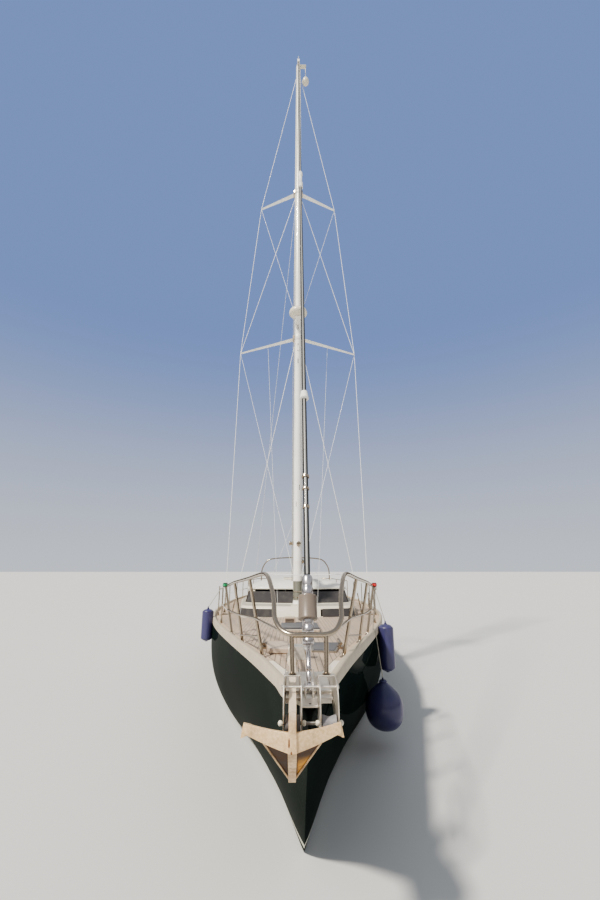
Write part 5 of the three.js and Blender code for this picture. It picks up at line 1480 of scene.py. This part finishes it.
# ---------------------------------------------------------------- stage

CAMERA_PLACE, CAMERA_PITCH, CAMERA_YAW = (-0.119, -10.85, 2.45), 16.6, -1.06
LENS_LENGTH, SENSOR_WIDTH = 16.0, 36.0
SUN_POWER, SUN_SPREAD, SUN_TURN = 4.6, 5, (43, 6, -50)
FLOOR_REACH = 400.0


class YACHT_OT_stage(Operator):
    """Lays the pale floor at the waterline and sets the light and the camera"""
    bl_idname = "yacht.stage"
    bl_label = "Floor, light and camera"

    def execute(self, context):
        scene = context.scene
        mesh = bpy.data.meshes.new("floor")
        corners = [(x * FLOOR_REACH, y * FLOOR_REACH, 0) for x, y in ((-1, -1), (1, -1), (1, 1), (-1, 1))]
        mesh.from_pydata(corners, [], [(0, 1, 2, 3)])
        floor = bpy.data.objects.new("floor", mesh)
        scene.collection.objects.link(floor)
        material, nodes, shader, at = material_with("floor_finish")
        tone = nodes.noise(at, 0.15, 2, 0.5)
        nodes.feed(shader, {
            "Base Color": nodes.mix(tone, (0.62, 0.63, 0.63), (0.66, 0.66, 0.65)), "Roughness": 0.7})
        mesh.materials.append(material)

        world = scene.world or bpy.data.worlds.new("studio")
        scene.world = world
        world.use_nodes = True
        world.node_tree.nodes.clear()
        nodes = Nodes(world.node_tree)
        up = axes_of(nodes, nodes.add("ShaderNodeTexCoord").outputs["Generated"])[2]
        # The camera sees the sky; the boat is lit by the soft light, which is dark low down
        sky = nodes.mix(nodes.between(up, -0.05, 0.55), (0.74, 0.78, 0.85), (0.24, 0.35, 0.70))
        soft = nodes.mix(nodes.between(up, 0.2, 0.9), (0.86, 0.86, 0.85), (0.54, 0.58, 0.65))
        soft = nodes.mix(nodes.between(up, 0.10, 0.24), (0.13, 0.105, 0.085), soft)
        seen = nodes.add("ShaderNodeLightPath").outputs["Is Camera Ray"]
        back = nodes.add("ShaderNodeBackground", {"Color": nodes.mix(seen, soft, sky), "Strength": 0.78})
        nodes.add("ShaderNodeOutputWorld", {"Surface": back.outputs[0]})

        sun = bpy.data.lights.new("key", "SUN")
        sun.energy, sun.angle = SUN_POWER, math.radians(SUN_SPREAD)
        sun.color = (1.0, 0.93, 0.82)
        lamp = bpy.data.objects.new("key", sun)
        lamp.rotation_euler = [math.radians(turn) for turn in SUN_TURN]
        scene.collection.objects.link(lamp)

        lens = bpy.data.cameras.new("camera")
        lens.lens, lens.sensor_width = LENS_LENGTH, SENSOR_WIDTH
        lens.clip_start, lens.clip_end = 0.05, 500
        camera = bpy.data.objects.new("camera", lens)
        camera.location = CAMERA_PLACE
        camera.rotation_euler = (math.radians(90 + CAMERA_PITCH), 0, math.radians(CAMERA_YAW))
        scene.collection.objects.link(camera)
        scene.camera = camera
        scene.view_settings.look = "AgX - Medium High Contrast"
        return {"FINISHED"}


# ---------------------------------------------------------------- settings, panel and start

class YachtSizes(PropertyGroup):
    """Sizes of the finish, in metres"""
    stripe_height: FloatProperty(
        name="Stripe height", description="Height of the hull's light line above the water",
        default=0.105, min=0.08, max=0.6, unit="LENGTH")
    stripe_width: FloatProperty(
        name="Stripe width", description="Width of the hull's light line", default=0.055, min=0.005, max=0.2,
        unit="LENGTH")
    plank_width: FloatProperty(
        name="Plank width", description="Width of one deck plank", default=0.058, min=0.02, max=0.2,
        unit="LENGTH")
    seam_width: FloatProperty(
        name="Seam width", description="Width of the dark seam between two planks", default=0.005,
        min=0.001, max=0.02, unit="LENGTH")
    margin_width: FloatProperty(
        name="Margin width", description="Width of the plank along the deck's edge", default=0.11,
        min=0.04, max=0.3, unit="LENGTH")


def shade(label, text, *rgb):
    return FloatVectorProperty(
        name=label, description=text, subtype="COLOR", size=3, default=rgb, min=0.0, max=1.0)


class YachtColours(PropertyGroup):
    """Base colours of the finishes"""
    topsides: shade("Topsides", "Hull paint", 0.006, 0.011, 0.009)
    topsides_light: shade("Topsides, faded", "Hull paint where it has faded", 0.010, 0.018, 0.014)
    stripe: shade("Stripe", "Light line above the water", 0.62, 0.62, 0.56)
    antifouling: shade("Antifouling", "Paint under the waterline", 0.03, 0.045, 0.06)
    deck_wood: shade("Deck wood", "Bleached planks", 0.55, 0.44, 0.34)
    deck_wood_grey: shade("Deck wood, grey", "Planks that have gone grey", 0.48, 0.39, 0.32)
    deck_wood_dark: shade("Deck wood, grain", "Dark grain in the planks", 0.30, 0.22, 0.16)
    seam: shade("Seam", "Filler between the planks", 0.12, 0.10, 0.085)
    moulding: shade("Moulding", "Coachroof and coamings", 0.74, 0.70, 0.60)
    roof: shade("Roof", "Deckhouse roof", 0.84, 0.83, 0.78)
    toe_rail: shade("Toe rail", "Rail along the deck's edge", 0.50, 0.44, 0.35)
    # Dark brown tone: a painted reflection of dark surroundings on polished steel
    steel: shade("Steel", "Polished stainless steel", 0.46, 0.39, 0.31)
    galvanised: shade("Galvanised", "Chalky galvanised anchor", 0.86, 0.66, 0.43)
    galvanised_dark: shade("Galvanised, dull", "Duller parts of the anchor", 0.70, 0.49, 0.28)
    rust: shade("Rust", "Rust on the anchor", 0.25, 0.11, 0.045)
    spar: shade("Spar", "Painted mast and boom", 0.93, 0.92, 0.89)
    spar_foot: shade("Mast foot", "Lowest part of the mast", 0.17, 0.17, 0.14)
    drum: shade("Furler drum", "Moulded drum of the headsail furler", 0.19, 0.155, 0.13)
    glass: shade("Glass", "Tinted panes", 0.060, 0.056, 0.057)
    fender: shade("Fender", "Fender skin", 0.050, 0.046, 0.145)
    rope: shade("Rope", "Lanyards and lines", 0.62, 0.6, 0.53)
    # Painted shade in the grooves between the rope's strands
    rope_groove_shade: shade("Rope, shade", "Between the strands", 0.30, 0.28, 0.23)


OPERATORS = (
    YACHT_OT_stage, YACHT_OT_hull, YACHT_OT_deck, YACHT_OT_house, YACHT_OT_cockpit,
    YACHT_OT_underwater, YACHT_OT_spars, YACHT_OT_rigging, YACHT_OT_bow, YACHT_OT_rails,
    YACHT_OT_fenders,
)


class YACHT_PT_panel(Panel):
    """Lists the yacht's settings and building steps"""
    bl_label = "Sailing yacht"
    bl_idname = "YACHT_PT_panel"
    bl_space_type = "VIEW_3D"
    bl_region_type = "UI"
    bl_category = "Yacht"

    def draw(self, context):
        for settings in (context.scene.yacht_sizes, context.scene.yacht_colours):
            box = self.layout.box()
            for key in settings.bl_rna.properties.keys():
                if key not in ("rna_type", "name"):
                    box.prop(settings, key)
        for operator in OPERATORS:
            self.layout.operator(operator.bl_idname)


CLASSES = (YachtSizes, YachtColours) + OPERATORS + (YACHT_PT_panel,)


def register():
    for item in CLASSES:
        bpy.utils.register_class(item)
    bpy.types.Scene.yacht_sizes = PointerProperty(type=YachtSizes)
    bpy.types.Scene.yacht_colours = PointerProperty(type=YachtColours)


def unregister():
    del bpy.types.Scene.yacht_sizes
    del bpy.types.Scene.yacht_colours
    for item in reversed(CLASSES):
        bpy.utils.unregister_class(item)


def main():
    """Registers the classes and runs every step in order."""
    register()
    for operator in OPERATORS:
        area, step = operator.bl_idname.split(".")
        if getattr(getattr(bpy.ops, area), step)() != {"FINISHED"}:
            raise RuntimeError(operator.bl_idname + " did not finish")


if __name__ == "__main__":
    main()
